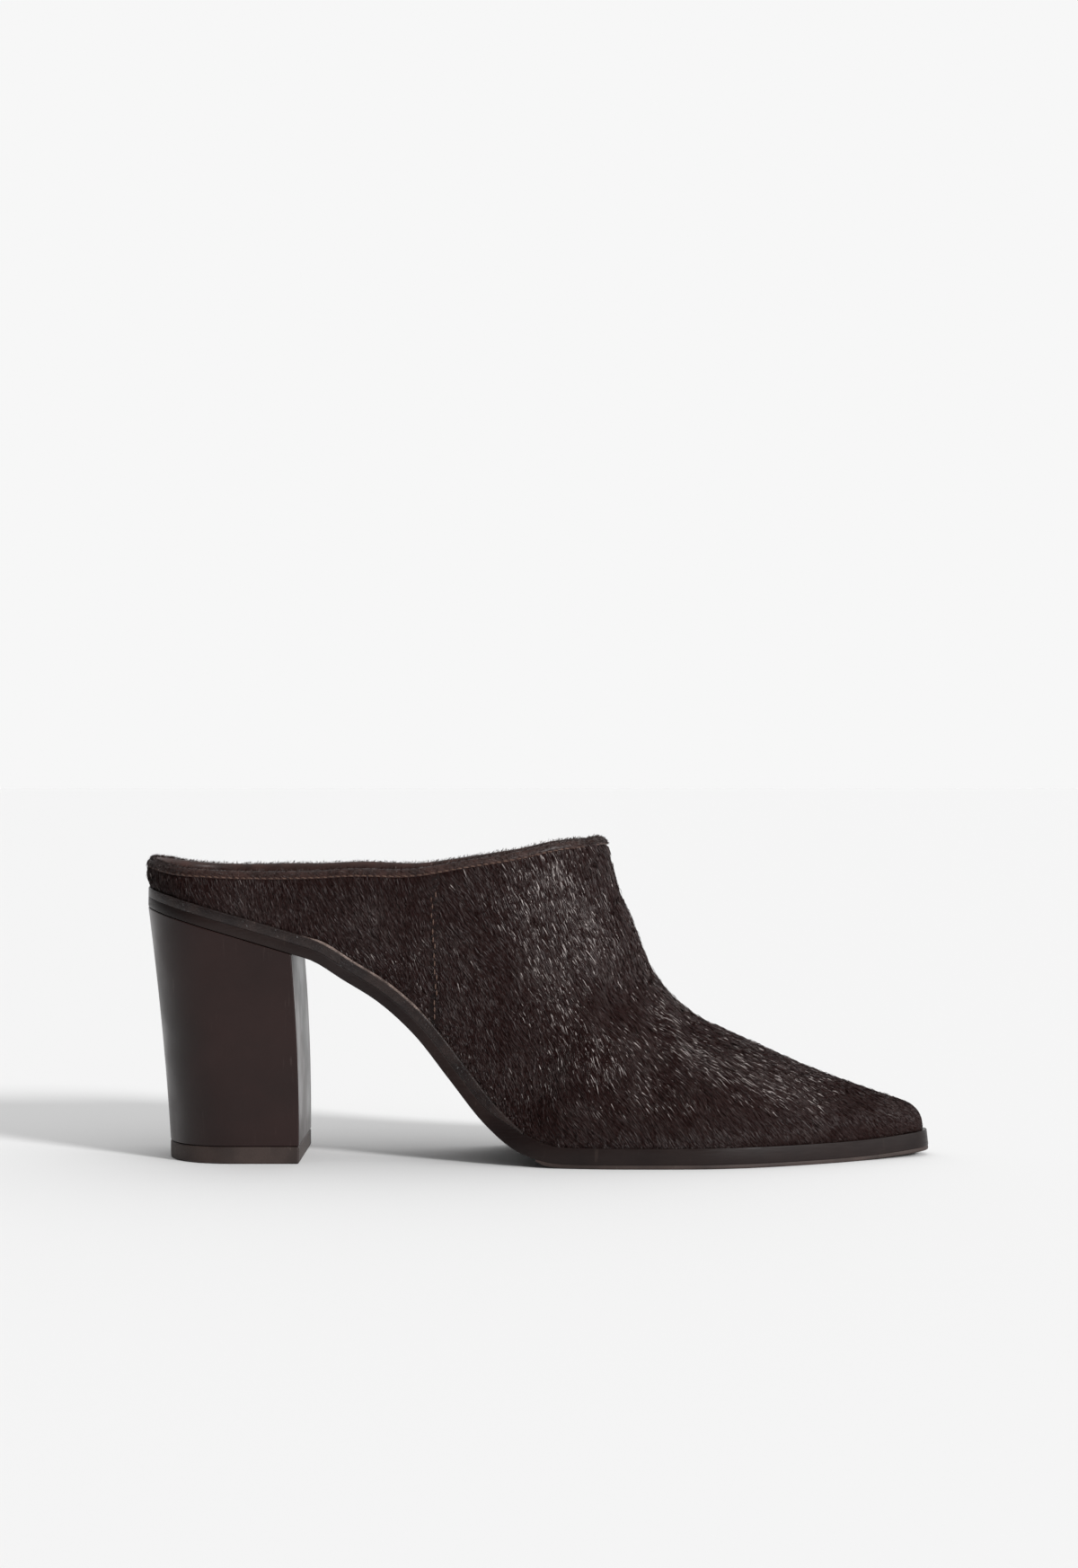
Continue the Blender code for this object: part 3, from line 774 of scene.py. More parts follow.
def make_seam_stitches():
    """A row of thread down the side seam, on both sides of the shoe."""
    shape = bmesh.new()
    for side in (-1, 1):
        near = (side * HIDE_NORMALS[..., 1] > 0.5) & (np.abs(HIDE[..., 0] - SEAM_X) < SEAM_STITCH_REACH)
        spots, ways = HIDE[near], HIDE_NORMALS[near]
        low, high = spots[:, 2].min() + SEAM_FOOT_ROOM, spots[:, 2].max() - SEAM_TOP_ROOM
        for k in range(int((high - low) / SEAM_STITCH_STEP)):
            z = low + SEAM_STITCH_STEP * k
            away = (spots[:, 0] - SEAM_X - SEAM_STITCH_AHEAD) ** 2 + (spots[:, 2] - z) ** 2
            i = int(np.argmin(away))
            o = unit(ways[i])
            a = unit(np.cross(o, [1.0, 0.0, 0.0]))
            stitch(shape, spots[i] + o * SEAM_STITCH_OUT, a, o, SEAM_STITCH_LENGTH, SEAM_THREAD)
    return finished("seam_stitches", shape)


def layer(name, low, high, inset=0.0, round_low=0.0004, round_high=0.0004, cuts=(), **ends):
    """A layer of the sole between two lifts, with rounded edges."""
    section = [(round_low, 0.0, f) for f in (0.0, 0.5, 0.8)]
    turns = [math.pi / 2 * k / 4 for k in range(5)]
    section += [(round_low * (1 - math.sin(t)), (1 - math.cos(t)) * round_low, 1.0) for t in turns]
    section += [(0.0, None, 1.0)]
    section += [(round_high * (1 - math.cos(t)), -(1 - math.sin(t)) * round_high, 1.0) for t in turns]
    section += [(round_high, 0.0, f) for f in (0.8, 0.5, 0.0)]
    half = len(section)
    columns = None
    for j, (shift, lift, part) in enumerate(section):
        pairs = outline(inset=inset + shift, extra=cuts, **ends)
        if columns is None:
            columns = np.zeros((len(pairs), 2 * half - 2, 3))
        for i, pair in enumerate(pairs):
            x = pair[0][0]
            bottom, top = low(x), high(x)
            if lift is None:
                level = (bottom + top) / 2
            elif j < half / 2:
                level = min(bottom + lift, (bottom + top) / 2)
            else:
                level = max(top + lift, (bottom + top) / 2)
            centre = (pair[0][1] + pair[1][1]) / 2
            for side, (_, y) in enumerate(pair):
                row = j if side == 0 else -j
                if side == 0 or 0 < j < half - 1:
                    columns[i, row] = on_sheet(x, centre + (y - centre) * part, level)
    return capped(laid_grid(name, columns, close_round=False, close_up=True))


def capped(piece):
    """Close a piece's square-cut ends."""
    shape = bmesh.new()
    shape.from_mesh(piece.data)
    bmesh.ops.holes_fill(shape, edges=[e for e in shape.edges if e.is_boundary], sides=0)
    bmesh.ops.recalc_face_normals(shape, faces=shape.faces)
    shape.to_mesh(piece.data)
    shape.free()
    piece.data.shade_smooth()
    piece.data.set_sharp_from_angle(angle=SHARP_ANGLE)
    return piece


def rand_thickness(x):
    """Full over heel and waist, skived away to a thin end at the ball."""
    full = smooth_step(0.0, RAND_SKIVE, place(RAND_END) - x)
    return RAND_THICKNESS * (RAND_END_SHARE + (1 - RAND_END_SHARE) * full)


def make_outsole():
    step = place(RAND_END) + GAP
    cuts = (step - SOLE_STEP_RUN, step)

    def top(x):
        if x < step - SOLE_STEP_RUN / 2:
            return stack_top(x) - rand_thickness(min(x, place(RAND_END))) - GAP * 0.5
        return stack_top(x)
    return layer("sole", lambda x: 0.0, top, round_low=0.0003, round_high=0.00015, cuts=cuts)


def make_rand():
    return layer("rand_band", lambda x: stack_top(x) - rand_thickness(x) - GAP * 0.3,
                 stack_top, round_low=0.00015, round_high=0.0006, end=place(RAND_END))


def make_lip():
    """The rand's raw top edge, a thin light line over the shank: partly its own lighter cut edge, partly
    painted highlight where it catches the light.
    """
    pieces = []
    for side, name in ((-1, "rand_lip_outer"), (1, "rand_lip_inner")):
        places = np.linspace(LIP_FROM, LIP_TO, 60)
        columns = []
        for x in places:
            near = smooth_step(0.0, LIP_TAPER, min(x - LIP_FROM, LIP_TO - x)) * 0.9 + 0.1
            middle = on_sheet(x, edge_place(x, side, LIP_INSET), stack_top(x) - GAP / 3)
            turns = np.linspace(0, 2 * math.pi, 8, endpoint=False)
            up = upward(x)
            ring = [middle + near * LIP_HALF * (np.array([0.0, side * math.cos(t), 0.0])
                                                + up * math.sin(t)) for t in turns]
            columns.append(ring)
        pieces.append(capped(laid_grid(name, np.array(columns), close_round=False, close_up=True)))
    return pieces


def make_tread():
    start = place(TREAD_START)

    def low(x):
        worn = 1 - smooth_step(0.0, 0.0030, x - start)
        return -GAP - TREAD_THICKNESS * (1 - 0.55 * worn)
    return layer("forepart_rubber", low, lambda x: 0.0, inset=GAP * 0.6,
                 round_low=0.0004, round_high=0.0001, start=start)


def make_sock():
    inset = SOLE_LEDGE + UPPER_WALL + GAP
    return layer("sock", lambda x: stack_top(x) + GAP, lambda x: stack_top(x) + GAP + INSOLE_THICKNESS,
                 inset=inset, round_low=0.0002, round_high=0.0008, tip_room=INSOLE_TOE_ROOM)


def heel_outline(level):
    """The block's outline at a level from 0 at its foot to 1 under the outsole."""
    front = place(0.0) + HEEL_BREAST
    foot_scale = HEEL_FOOT_LENGTH / HEEL_BREAST
    widest = HALF_BALL * (PLAN["outer"](HEEL_WIDEST) + PLAN["inner"](HEEL_WIDEST))
    width_scale = 1 + (HEEL_FOOT_WIDTH / widest - 1) * (1 - level)
    setback = HEEL_FOOT_SETBACK * (1 - level) + HEEL_HOLLOW * 4 * level * (1 - level)
    length = HEEL_BREAST * (foot_scale + (1 - foot_scale) * level)
    points = []
    for (xo, yo), (_, yi) in outline(end=front):
        x = BACK + setback + (xo - BACK) / HEEL_BREAST * length
        points.append((x, yo * width_scale, yi * width_scale))
    return points


def heel_top_height(x):
    """The plane of the outsole's underside over the heel, a gap below it."""
    slope = (underside(place(HEEL_FLAT)) - underside(BACK)) / (place(HEEL_FLAT) - BACK)
    return underside(BACK) + slope * (x - BACK) - GAP * 0.5 * math.hypot(1.0, slope)


def heel_rings(name, rings, height):
    """A closed block from outlines at several levels, round its back and across its front."""
    columns = []
    for level, ring in rings:
        loop = [(x, yo) for x, yo, yi in reversed(ring)] + [(x, yi) for x, yo, yi in ring[1:]]
        x, inner, outer = ring[-1][0], ring[-1][2], ring[-1][1]
        loop += [(x, inner + (outer - inner) * f) for f in (0.25, 0.5, 0.75)]
        columns.append([(x, y, height(level, x)) for x, y in loop])
    return capped(laid_grid(name, np.array(columns).transpose(1, 0, 2)))


def bevelled(piece, width):
    made = piece.modifiers.new("edges", "BEVEL")
    made.width = width
    made.segments = 3
    made.limit_method = "ANGLE"
    made.angle_limit = BEVEL_ANGLE
    made.harden_normals = True
    return piece


def make_heel():
    base = LIFT_THICKNESS + GAP * 0.3
    rings = [(level, heel_outline(level)) for level in np.linspace(0.0, 1.0, 25)]
    piece = heel_rings("heel_cover", rings, lambda u, x: base + u * (heel_top_height(x) - base))
    return bevelled(piece, HEEL_BEVEL)


def make_lift():
    rings = [(level, heel_outline(0.0)) for level in (0.0, 0.5, 1.0)]
    return bevelled(heel_rings("heel_foot", rings, lambda u, x: u * LIFT_THICKNESS), LIFT_BEVEL)


def tone(red, green, blue):
    """A colour as the eye reads it on a screen, 0 to 255, for a shader's socket."""
    return tuple(((c / 255 + 0.055) / 1.055) ** 2.4 if c > 10 else c / 255 / 12.92
                 for c in (red, green, blue)) + (1.0,)


def give(tree, socket, value):
    """Link a socket to another one, or set its value."""
    if isinstance(value, bpy.types.NodeSocket):
        tree.links.new(value, socket)
    else:
        socket.default_value = value


def add(tree, kind, settings=None, **sockets):
    """A node with its settings; each socket gets a value or a link."""
    node = tree.nodes.new(kind)
    for name, value in (settings or {}).items():
        setattr(node, name, value)
    for name, value in sockets.items():
        give(tree, node.inputs[name.replace("_", " ")], value)
    return node


def maths(tree, operation, first, second):
    node = tree.nodes.new("ShaderNodeMath")
    node.operation = operation
    for socket, value in zip(node.inputs, (first, second)):
        give(tree, socket, value)
    return node.outputs[0]


def fitted(tree, value, low, high, to_low, to_high):
    node = add(tree, "ShaderNodeMapRange", {"interpolation_type": "SMOOTHSTEP"}, Value=value,
               From_Min=low, From_Max=high, To_Min=to_low, To_Max=to_high)
    return node.outputs["Result"]


def mixed(tree, share_of, first, second):
    node = tree.nodes.new("ShaderNodeMix")
    node.data_type = "RGBA"
    for socket, value in zip((node.inputs[0], node.inputs[6], node.inputs[7]),
                             (share_of, first, second)):
        give(tree, socket, value)
    return node.outputs[2]


def new_group(name, inputs, outputs):
    """An empty node group with named sockets, and its two end nodes."""
    group = bpy.data.node_groups.new(name, "ShaderNodeTree")
    for title, kind, value in inputs:
        socket = group.interface.new_socket(title, in_out="INPUT", socket_type=kind)
        if value is not None:
            socket.default_value = value
    for title, kind in outputs:
        group.interface.new_socket(title, in_out="OUTPUT", socket_type=kind)
    ends = group.nodes.new("NodeGroupInput"), group.nodes.new("NodeGroupOutput")
    return group, ends[0].outputs, ends[1].inputs


NUMBER, COLOUR, WAY = "NodeSocketFloat", "NodeSocketColor", "NodeSocketVector"


def leather_grain_group():
    """Fine pebbles parted by narrow creases, and the softer swell below them."""
    group, given, result = new_group(
        "leather grain", [("Place", WAY, None), ("Pebbles", NUMBER, 1800.0), ("Crease", NUMBER, 0.12)],
        [("Height", NUMBER), ("Creases", NUMBER)])
    cells = add(group, "ShaderNodeTexVoronoi", {"feature": "DISTANCE_TO_EDGE"},
                Vector=given["Place"], Scale=given["Pebbles"], Randomness=1.0)
    crease = add(group, "ShaderNodeMapRange", {"interpolation_type": "SMOOTHSTEP"},
                 Value=cells.outputs["Distance"], From_Min=0.0, From_Max=given["Crease"])
    swell = add(group, "ShaderNodeTexNoise", Vector=given["Place"], Scale=420.0, Detail=3.0)
    both = maths(group, "MULTIPLY_ADD", swell.outputs[0], 0.6)
    group.links.new(crease.outputs["Result"], both.node.inputs[2])
    group.links.new(both, result["Height"])
    group.links.new(maths(group, "SUBTRACT", 1.0, crease.outputs["Result"]), result["Creases"])
    return group


def scuffs_group():
    """Sparse fine scratches and rubbed clouds, as one mask."""
    group, given, result = new_group(
        "scuffs", [("Place", WAY, None), ("Amount", NUMBER, 0.5)], [("Mask", NUMBER)])
    drawn = add(group, "ShaderNodeMapping", Vector=given["Place"], Scale=(1.0, 1.0, 0.08),
                Rotation=(0.0, 0.35, 0.2))
    lines = add(group, "ShaderNodeTexNoise", Vector=drawn.outputs[0], Scale=1500.0, Detail=2.0)
    clouds = add(group, "ShaderNodeTexNoise", Vector=given["Place"], Scale=60.0, Detail=5.0)
    fine = fitted(group, lines.outputs[0], 0.64, 0.74, 0.0, 1.0)
    wide = fitted(group, clouds.outputs[0], 0.48, 0.72, 0.0, 1.0)
    group.links.new(maths(group, "MULTIPLY", maths(group, "MULTIPLY", fine, wide), given["Amount"]),
                    result["Mask"])
    return group


def drift_group():
    """A slow drift between two colours, with fine mottling over it."""
    group, given, result = new_group(
        "colour drift", [("Place", WAY, None), ("Size", NUMBER, 40.0), ("Dark", COLOUR, None),
                         ("Light", COLOUR, None)], [("Color", COLOUR), ("Share", NUMBER)])
    slow = add(group, "ShaderNodeTexNoise", Vector=given["Place"], Scale=given["Size"], Detail=6.0)
    at = fitted(group, slow.outputs[0], 0.32, 0.68, 0.0, 1.0)
    group.links.new(mixed(group, at, given["Dark"], given["Light"]), result["Color"])
    group.links.new(at, result["Share"])
    return group


GRAIN = leather_grain_group()
SCUFFS = scuffs_group()
DRIFT = drift_group()


def new_material(name, **values):
    """A material with a Principled shader and Object coordinates."""
    material = bpy.data.materials.new(name)
    material.use_nodes = True
    tree = material.node_tree
    shader = tree.nodes["Principled BSDF"]
    for title, value in values.items():
        shader.inputs[title.replace("_", " ")].default_value = value
    where = tree.nodes.new("ShaderNodeTexCoord").outputs["Object"]
    return material, tree, shader, where


def use(tree, group, **sockets):
    return add(tree, "ShaderNodeGroup", {"node_tree": group}, **sockets)


def bump(tree, shader, height, strength, distance):
    node = add(tree, "ShaderNodeBump", Height=height, Strength=strength, Distance=distance)
    tree.links.new(node.outputs[0], shader.inputs["Normal"])


def leather(name, dark, light, roughness, pebbles, depth, drift=60.0, coat=0.0, scuff=0.4,
            scuffed=None):
    """A grained leather: drifting colour, painted shade darkening the grain's creases, and scuffs in
    scattered patches.
    """
    material, tree, shader, where = new_material(name, Specular_IOR_Level=0.3, Coat_Weight=coat,
                                                 Coat_Roughness=0.25)
    colour = use(tree, DRIFT, Place=where, Size=drift, Dark=dark, Light=light)
    grain = use(tree, GRAIN, Place=where, Pebbles=pebbles, Crease=0.12)
    marks = use(tree, SCUFFS, Place=where, Amount=scuff)
    # Painted shade: the colour darkened in the grain's creases
    shaded = mixed(tree, maths(tree, "MULTIPLY", grain.outputs["Creases"], 0.45),
                   colour.outputs["Color"], tuple(c * 0.45 for c in dark[:3]) + (1.0,))
    worn = mixed(tree, marks.outputs["Mask"], shaded, scuffed or light)
    tree.links.new(worn, shader.inputs["Base Color"])
    rough = fitted(tree, colour.outputs["Share"], 0.0, 1.0, roughness - 0.05, roughness + 0.06)
    tree.links.new(maths(tree, "ADD", rough, maths(tree, "MULTIPLY", marks.outputs["Mask"], 0.2)),
                   shader.inputs["Roughness"])
    bump(tree, shader, grain.outputs["Height"], 1.0, depth)
    return material


def binding_leather():
    return leather("binding leather", tone(38, 21, 17), tone(60, 37, 31), 0.50, 2400.0, 0.00006,
                   drift=220.0, coat=0.04, scuff=0.5, scuffed=tone(92, 68, 58))


def lining_leather():
    return leather("lining leather", tone(112, 82, 64), tone(140, 106, 84), 0.46, 2600.0, 0.00003,
                   drift=45.0, scuff=0.25)


def sock_leather():
    return leather("sock leather", tone(96, 68, 52), tone(122, 90, 70), 0.44, 2200.0, 0.00004,
                   drift=35.0, coat=0.1, scuff=0.3)


def rand_leather():
    return leather("rand leather", tone(24, 14, 13), tone(42, 30, 27), 0.38, 1500.0, 0.00012,
                   drift=150.0, coat=0.15, scuff=0.6, scuffed=tone(86, 70, 64))


def raw_edge_with_painted_highlight():
    """The rand's cut edge, lighter than its face: partly its own colour, partly painted highlight."""
    return leather("raw edge", tone(74, 60, 55), tone(138, 120, 112), 0.5, 1500.0, 0.00012,
                   drift=300.0, scuff=0.5)


def painted_edge():
    """Painted leather edge: smooth, with the faint long marks of burnishing."""
    material, tree, shader, where = new_material("painted edge", Specular_IOR_Level=0.2,
                                                 Coat_Weight=0.06, Coat_Roughness=0.25)
    colour = use(tree, DRIFT, Place=where, Size=55.0, Dark=tone(20, 11, 10), Light=tone(31, 21, 19))
    drawn = add(tree, "ShaderNodeMapping", Vector=where, Scale=(0.06, 0.06, 1.0))
    lines = add(tree, "ShaderNodeTexNoise", Vector=drawn.outputs[0], Scale=2600.0, Detail=3.0)
    marks = use(tree, SCUFFS, Place=where, Amount=0.12)
    tree.links.new(mixed(tree, marks.outputs["Mask"], colour.outputs["Color"], tone(104, 90, 82)),
                   shader.inputs["Base Color"])
    tree.links.new(fitted(tree, lines.outputs[0], 0.3, 0.7, 0.34, 0.48), shader.inputs["Roughness"])
    bump(tree, shader, lines.outputs[0], 0.5, 0.00005)
    return material


def heel_paint():
    """Sprayed heel: a satin coat with a fine orange peel and a few light scratches."""
    material, tree, shader, where = new_material("heel paint", Specular_IOR_Level=0.26,
                                                 Coat_Weight=0.10, Coat_Roughness=0.2)
    colour = use(tree, DRIFT, Place=where, Size=28.0, Dark=tone(26, 11, 9), Light=tone(36, 19, 17))
    marks = use(tree, SCUFFS, Place=where, Amount=0.22)
    peel = add(tree, "ShaderNodeTexNoise", Vector=where, Scale=1100.0, Detail=2.0)
    slow = add(tree, "ShaderNodeTexNoise", Vector=where, Scale=70.0, Detail=4.0)
    tree.links.new(mixed(tree, marks.outputs["Mask"], colour.outputs["Color"], tone(92, 80, 76)),
                   shader.inputs["Base Color"])
    tree.links.new(fitted(tree, slow.outputs[0], 0.3, 0.7, 0.30, 0.42), shader.inputs["Roughness"])
    bump(tree, shader, peel.outputs[0], 0.35, 0.00004)
    return material


def rubber():
    material, tree, shader, where = new_material("heel and sole rubber", Specular_IOR_Level=0.35)
    colour = use(tree, DRIFT, Place=where, Size=90.0, Dark=tone(42, 32, 29), Light=tone(58, 46, 42))
    marks = use(tree, SCUFFS, Place=where, Amount=0.6)
    grit = add(tree, "ShaderNodeTexNoise", Vector=where, Scale=2600.0, Detail=3.0)
    tree.links.new(mixed(tree, marks.outputs["Mask"], colour.outputs["Color"], tone(120, 110, 102)),
                   shader.inputs["Base Color"])
    tree.links.new(fitted(tree, grit.outputs[0], 0.3, 0.7, 0.52, 0.68), shader.inputs["Roughness"])
    bump(tree, shader, grit.outputs[0], 0.6, 0.00006)
    return material


def thread():
    material, tree, shader, where = new_material("thread", Roughness=0.55, Specular_IOR_Level=0.4)
    twist = add(tree, "ShaderNodeTexWave", {"bands_direction": "DIAGONAL"}, Vector=where, Scale=900.0)
    tree.links.new(mixed(tree, twist.outputs["Fac"], tone(62, 42, 34), tone(98, 74, 62)),
                   shader.inputs["Base Color"])
    bump(tree, shader, twist.outputs["Fac"], 0.5, 0.00006)
    return material


def lay_streaks_group():
    """Long streaks that follow the lay of the hair down towards the toe."""
    group, given, result = new_group("lay streaks", [("Place", WAY, None), ("Fineness", NUMBER, 900.0)],
                                     [("Streaks", NUMBER)])
    turned = add(group, "ShaderNodeMapping", Vector=given["Place"], Rotation=(0.0, -0.98, 0.0))
    drawn = add(group, "ShaderNodeMapping", Vector=turned.outputs[0], Scale=(0.10, 1.0, 1.0))
    noise = add(group, "ShaderNodeTexNoise", Vector=drawn.outputs[0], Scale=given["Fineness"], Detail=3.0)
    group.links.new(noise.outputs[0], result["Streaks"])
    return group


STREAKS = lay_streaks_group()


def hide_skin():
    """The hide under the hairs: dark, with the streaks of the short underfur."""
    material, tree, shader, where = new_material("hair-on hide", Specular_IOR_Level=0.15, Roughness=0.6)
    streaks = use(tree, STREAKS, Place=where, Fineness=1500.0)
    at = fitted(tree, streaks.outputs[0], 0.35, 0.65, 0.0, 1.0)
    tree.links.new(mixed(tree, at, tone(12, 5, 4), tone(24, 12, 10)), shader.inputs["Base Color"])
    bump(tree, shader, streaks.outputs[0], 0.8, 0.00030)
    return material


def hair_strands():
    """The hairs: each has its own shade; the light greyish hairs are painted sheen, most where the coat
    catches the light.
    """
    material, tree, shader, where = new_material("hide hair", Specular_IOR_Level=0.12, Roughness=0.42)
    shade = add(tree, "ShaderNodeAttribute", {"attribute_name": "shade"}).outputs["Fac"]
    slow = add(tree, "ShaderNodeTexNoise", Vector=where, Scale=55.0, Detail=4.0)
    both = maths(tree, "ADD", maths(tree, "MULTIPLY", shade, 0.75),
                 maths(tree, "MULTIPLY", slow.outputs[0], 0.25))
    at = fitted(tree, both, 0.20, 1.0, 0.0, 1.0)
    # The light colour is the painted sheen of the lighter hairs
    tree.links.new(mixed(tree, at, tone(33, 15, 13), tone(172, 163, 160)), shader.inputs["Base Color"])
    return material


def scattered(rng, chosen, count):
    """Random places on the hide's face: column and row shares, weighted by area."""
    step_a = np.linalg.norm(np.roll(HIDE, -1, 0)[:, :-1] - HIDE[:, :-1], axis=2)
    step_b = np.linalg.norm(HIDE[:, 1:] - HIDE[:, :-1], axis=2)
    weight = (step_a * step_b * chosen[:, :-1]).ravel()
    cells = rng.choice(len(weight), size=count, p=weight / weight.sum())
    rows = HIDE.shape[1] - 1
    i, j = cells // rows, cells % rows
    a, b = rng.random(count)[:, None], rng.random(count)[:, None]
    n = (i + 1) % len(HIDE)

    def at(values):
        low = values[i, j] * (1 - a) + values[n, j] * a
        high = values[i, j + 1] * (1 - a) + values[n, j + 1] * a
        return low * (1 - b) + high * b
    spot, normal = at(HIDE), at(HIDE_NORMALS)
    return spot, unit(normal), (j + b[:, 0]) / rows


def drifting(points, seed, size):
    """A smooth random value at each point, about -1 to 1."""
    rng = np.random.default_rng(seed)
    total = np.zeros(len(points))
    for _ in range(7):
        way = rng.normal(size=3)
        total += np.sin(points @ (way / np.linalg.norm(way)) * (2 * math.pi / size)
                        * rng.uniform(0.6, 1.7) + rng.uniform(0, 2 * math.pi))
    return total / 3.0


def painted_sheen_and_shade(spot):
    """How much painted sheen lightens and painted shade darkens the coat at each place."""
    sheen_and_shade_gain = np.zeros(len(spot))
    for x, z, length, width, turn, add_on in zip(*read_table(PAINTED_SHEEN_AND_SHADE).values()):
        dx, dz = spot[:, 0] / MILLIMETRE - x, spot[:, 2] / MILLIMETRE - z
        c, s = math.cos(math.radians(turn)), math.sin(math.radians(turn))
        a, b = (dx * c + dz * s) / length, (dz * c - dx * s) / width
        sheen_and_shade_gain += add_on * np.exp(-a * a - b * b)
    return sheen_and_shade_gain


def make_hairs(name, chosen, count, seed):
    """Thousands of short hairs, each one narrow leaf that lies along the hide."""
    rng = np.random.default_rng(seed)
    spot, normal, row = scattered(rng, chosen, count)
    lay = read_table(HAIR_LAY)
    along = lay["along"] * MILLIMETRE
    angle = np.radians(np.interp(spot[:, 0], along, lay["angle"]))
    angle = angle + LAY_WANDER * drifting(spot, 3, 0.030) + LAY_RIPPLE * drifting(spot, 4, 0.009)
    angle = angle + rng.normal(size=count) * LAY_SPREAD
    way = np.stack([np.cos(angle), np.zeros(count), -np.sin(angle)], axis=1)
    way[:, 1] += 0.10 * drifting(spot, 5, 0.020) + rng.normal(size=count) * 0.06
    way = unit(way - normal * np.sum(way * normal, axis=1)[:, None])
    across = np.cross(normal, way)
    roll = rng.normal(size=count) * ROLL_SPREAD
    length = np.interp(spot[:, 0], along, lay["length"]) * MILLIMETRE * rng.uniform(0.55, 1.15, count)
    edge = smooth_step(0.0, 0.10, row) * 0.55 + 0.45
    length = length * edge
    near_seam = np.abs(spot[:, 0] - SEAM_X - SEAM_PART_AHEAD) < SEAM_PART_HALF
    length = np.where(near_seam & (np.abs(normal[:, 1]) > 0.5), length * 0.4, length)
    width = rng.uniform(*HAIR_WIDTH, count)
    rise = rng.uniform(0.05, 0.14, count) + (rng.random(count) < 0.04) * 0.14
    rise += rng.uniform(0.0, 0.30, count) * smooth_step(*TUFTED_BACK, spot[:, 0])
    root = spot - normal * ROOT_DEPTH - way * (length * 0.1)[:, None]
    vertices = leaves(root, way, normal, across, length, width, rise, roll)
    # Painted sheen and painted shade from the table, with a slight random drift of tone
    sheen_and_shade_gain = painted_sheen_and_shade(spot) + 0.05 * drifting(spot, 6, 0.014)
    shade = SHADE_MEAN + SHADE_SPREAD * rng.normal(size=count) + 0.06 * sheen_and_shade_gain
    # Some hairs are lifted to the light colour: painted sheen, more of them where the table paints sheen
    sheen_lift = rng.uniform(*SHEEN_HAIR_LIFT, count)
    shade += sheen_lift * (rng.random(count) < SHEEN_HAIR_CHANCE + SHEEN_HAIR_CHANCE_PER_GAIN * sheen_and_shade_gain)
    return leaf_mesh(name, vertices, np.clip(shade, 0.0, 1.0))


def leaves(root, way, normal, across, length, width, rise, roll):
    """Four points for each hair: its root, its two sides at the belly and its tip."""
    across = unit(across * np.cos(roll)[:, None] + normal * np.sin(roll)[:, None])
    belly = root + way * (length * 0.45)[:, None] + normal * (length * rise * 0.75)[:, None]
    tip = root + way * length[:, None] + normal * (length * rise * 0.55)[:, None]
    half = across * (width / 2)[:, None]
    return np.stack([root, belly - half, belly + half, tip], axis=1)


def make_collar_fuzz(count):
    """Short hairs that stand up along the folded edge, thickest behind the heel."""
    rng = np.random.default_rng(HAIR_SEED + 9)
    point, out, down, along = collar_frames(FUZZ_STEP)
    thick = 0.25 + smooth_step(*FUZZ_BACK, point[:, 0]) + 0.5 * smooth_step(*FUZZ_FRONT, point[:, 0])
    i = rng.choice(len(point), size=count, p=thick / thick.sum())
    low = rng.random(count) ** 2 * FUZZ_REACH
    face = 0.50 - 1.6 * np.clip(0.8 - low, 0.0, 0.8)
    root = point[i] + (down[i] * low[:, None] + out[i] * face[:, None]) * MILLIMETRE
    lay = np.array([0.45, 0.0, -0.35])
    way = lay + along[i] * rng.normal(size=count)[:, None] * 0.35
    way = way + out[i] * rng.uniform(0.0, 0.7, count)[:, None]
    way = unit(way - down[i] * (rng.uniform(0.0, 1.1, count) * (low < 0.7))[:, None])
    across = unit(np.cross(out[i], way))
    length = rng.uniform(*FUZZ_LENGTH, count) * MILLIMETRE
    width = rng.uniform(*FUZZ_WIDTH, count)
    vertices = leaves(root, way, out[i], across, length, width, rng.uniform(0.1, 0.3, count),
                      rng.normal(size=count) * 0.6)
    return leaf_mesh("collar_fuzz", vertices, np.clip(0.22 + 0.14 * rng.normal(size=count), 0, 1))


def leaf_mesh(name, vertices, shade):
    """One joined mesh of two-triangle leaves, with a shade for each leaf's points."""
    count = len(vertices)
    base = np.arange(count)[:, None] * 4
    corners = np.stack([base + [0, 1, 2], base + [1, 3, 2]], axis=1).reshape(-1)
    mesh = bpy.data.meshes.new(name)
    mesh.vertices.add(count * 4)
    mesh.vertices.foreach_set("co", vertices.astype(np.float32).ravel())
    mesh.loops.add(count * 6)
    mesh.loops.foreach_set("vertex_index", corners.astype(np.int32))
    mesh.polygons.add(count * 2)
    mesh.polygons.foreach_set("loop_start", np.arange(0, count * 6, 3, dtype=np.int32))
    mesh.update(calc_edges=True)
    layer_of = mesh.attributes.new("shade", "FLOAT", "POINT")
    layer_of.data.foreach_set("value", np.repeat(shade, 4).astype(np.float32))
    mesh.shade_smooth()
    piece = bpy.data.objects.new(name, mesh)
    bpy.context.scene.collection.objects.link(piece)
    return piece


def make_coat(material):
    """The hair in four pieces: the outer and the inner side, back and front."""
    outer = np.array([side < 0 for _, side, _ in LOOP])[:, None] * np.ones(HIDE.shape[:2])
    front = HIDE[..., 0] > FRONT_FROM
    quick = 1.0
    parts = (("hair_outer_front", outer * front, OUTER_HAIRS),
             ("hair_outer_back", outer * ~front, OUTER_HAIRS),
             ("hair_inner_front", (1 - outer) * front, INNER_FRONT_HAIRS),
             ("hair_inner_back", (1 - outer) * ~front, INNER_BACK_HAIRS))
    for k, (name, chosen, count) in enumerate(parts):
        dress(make_hairs(name, chosen, int(count * quick), HAIR_SEED + k), material, "hair_on_calf")
    dress(make_collar_fuzz(FUZZ_HAIRS), material, "hair_on_calf")


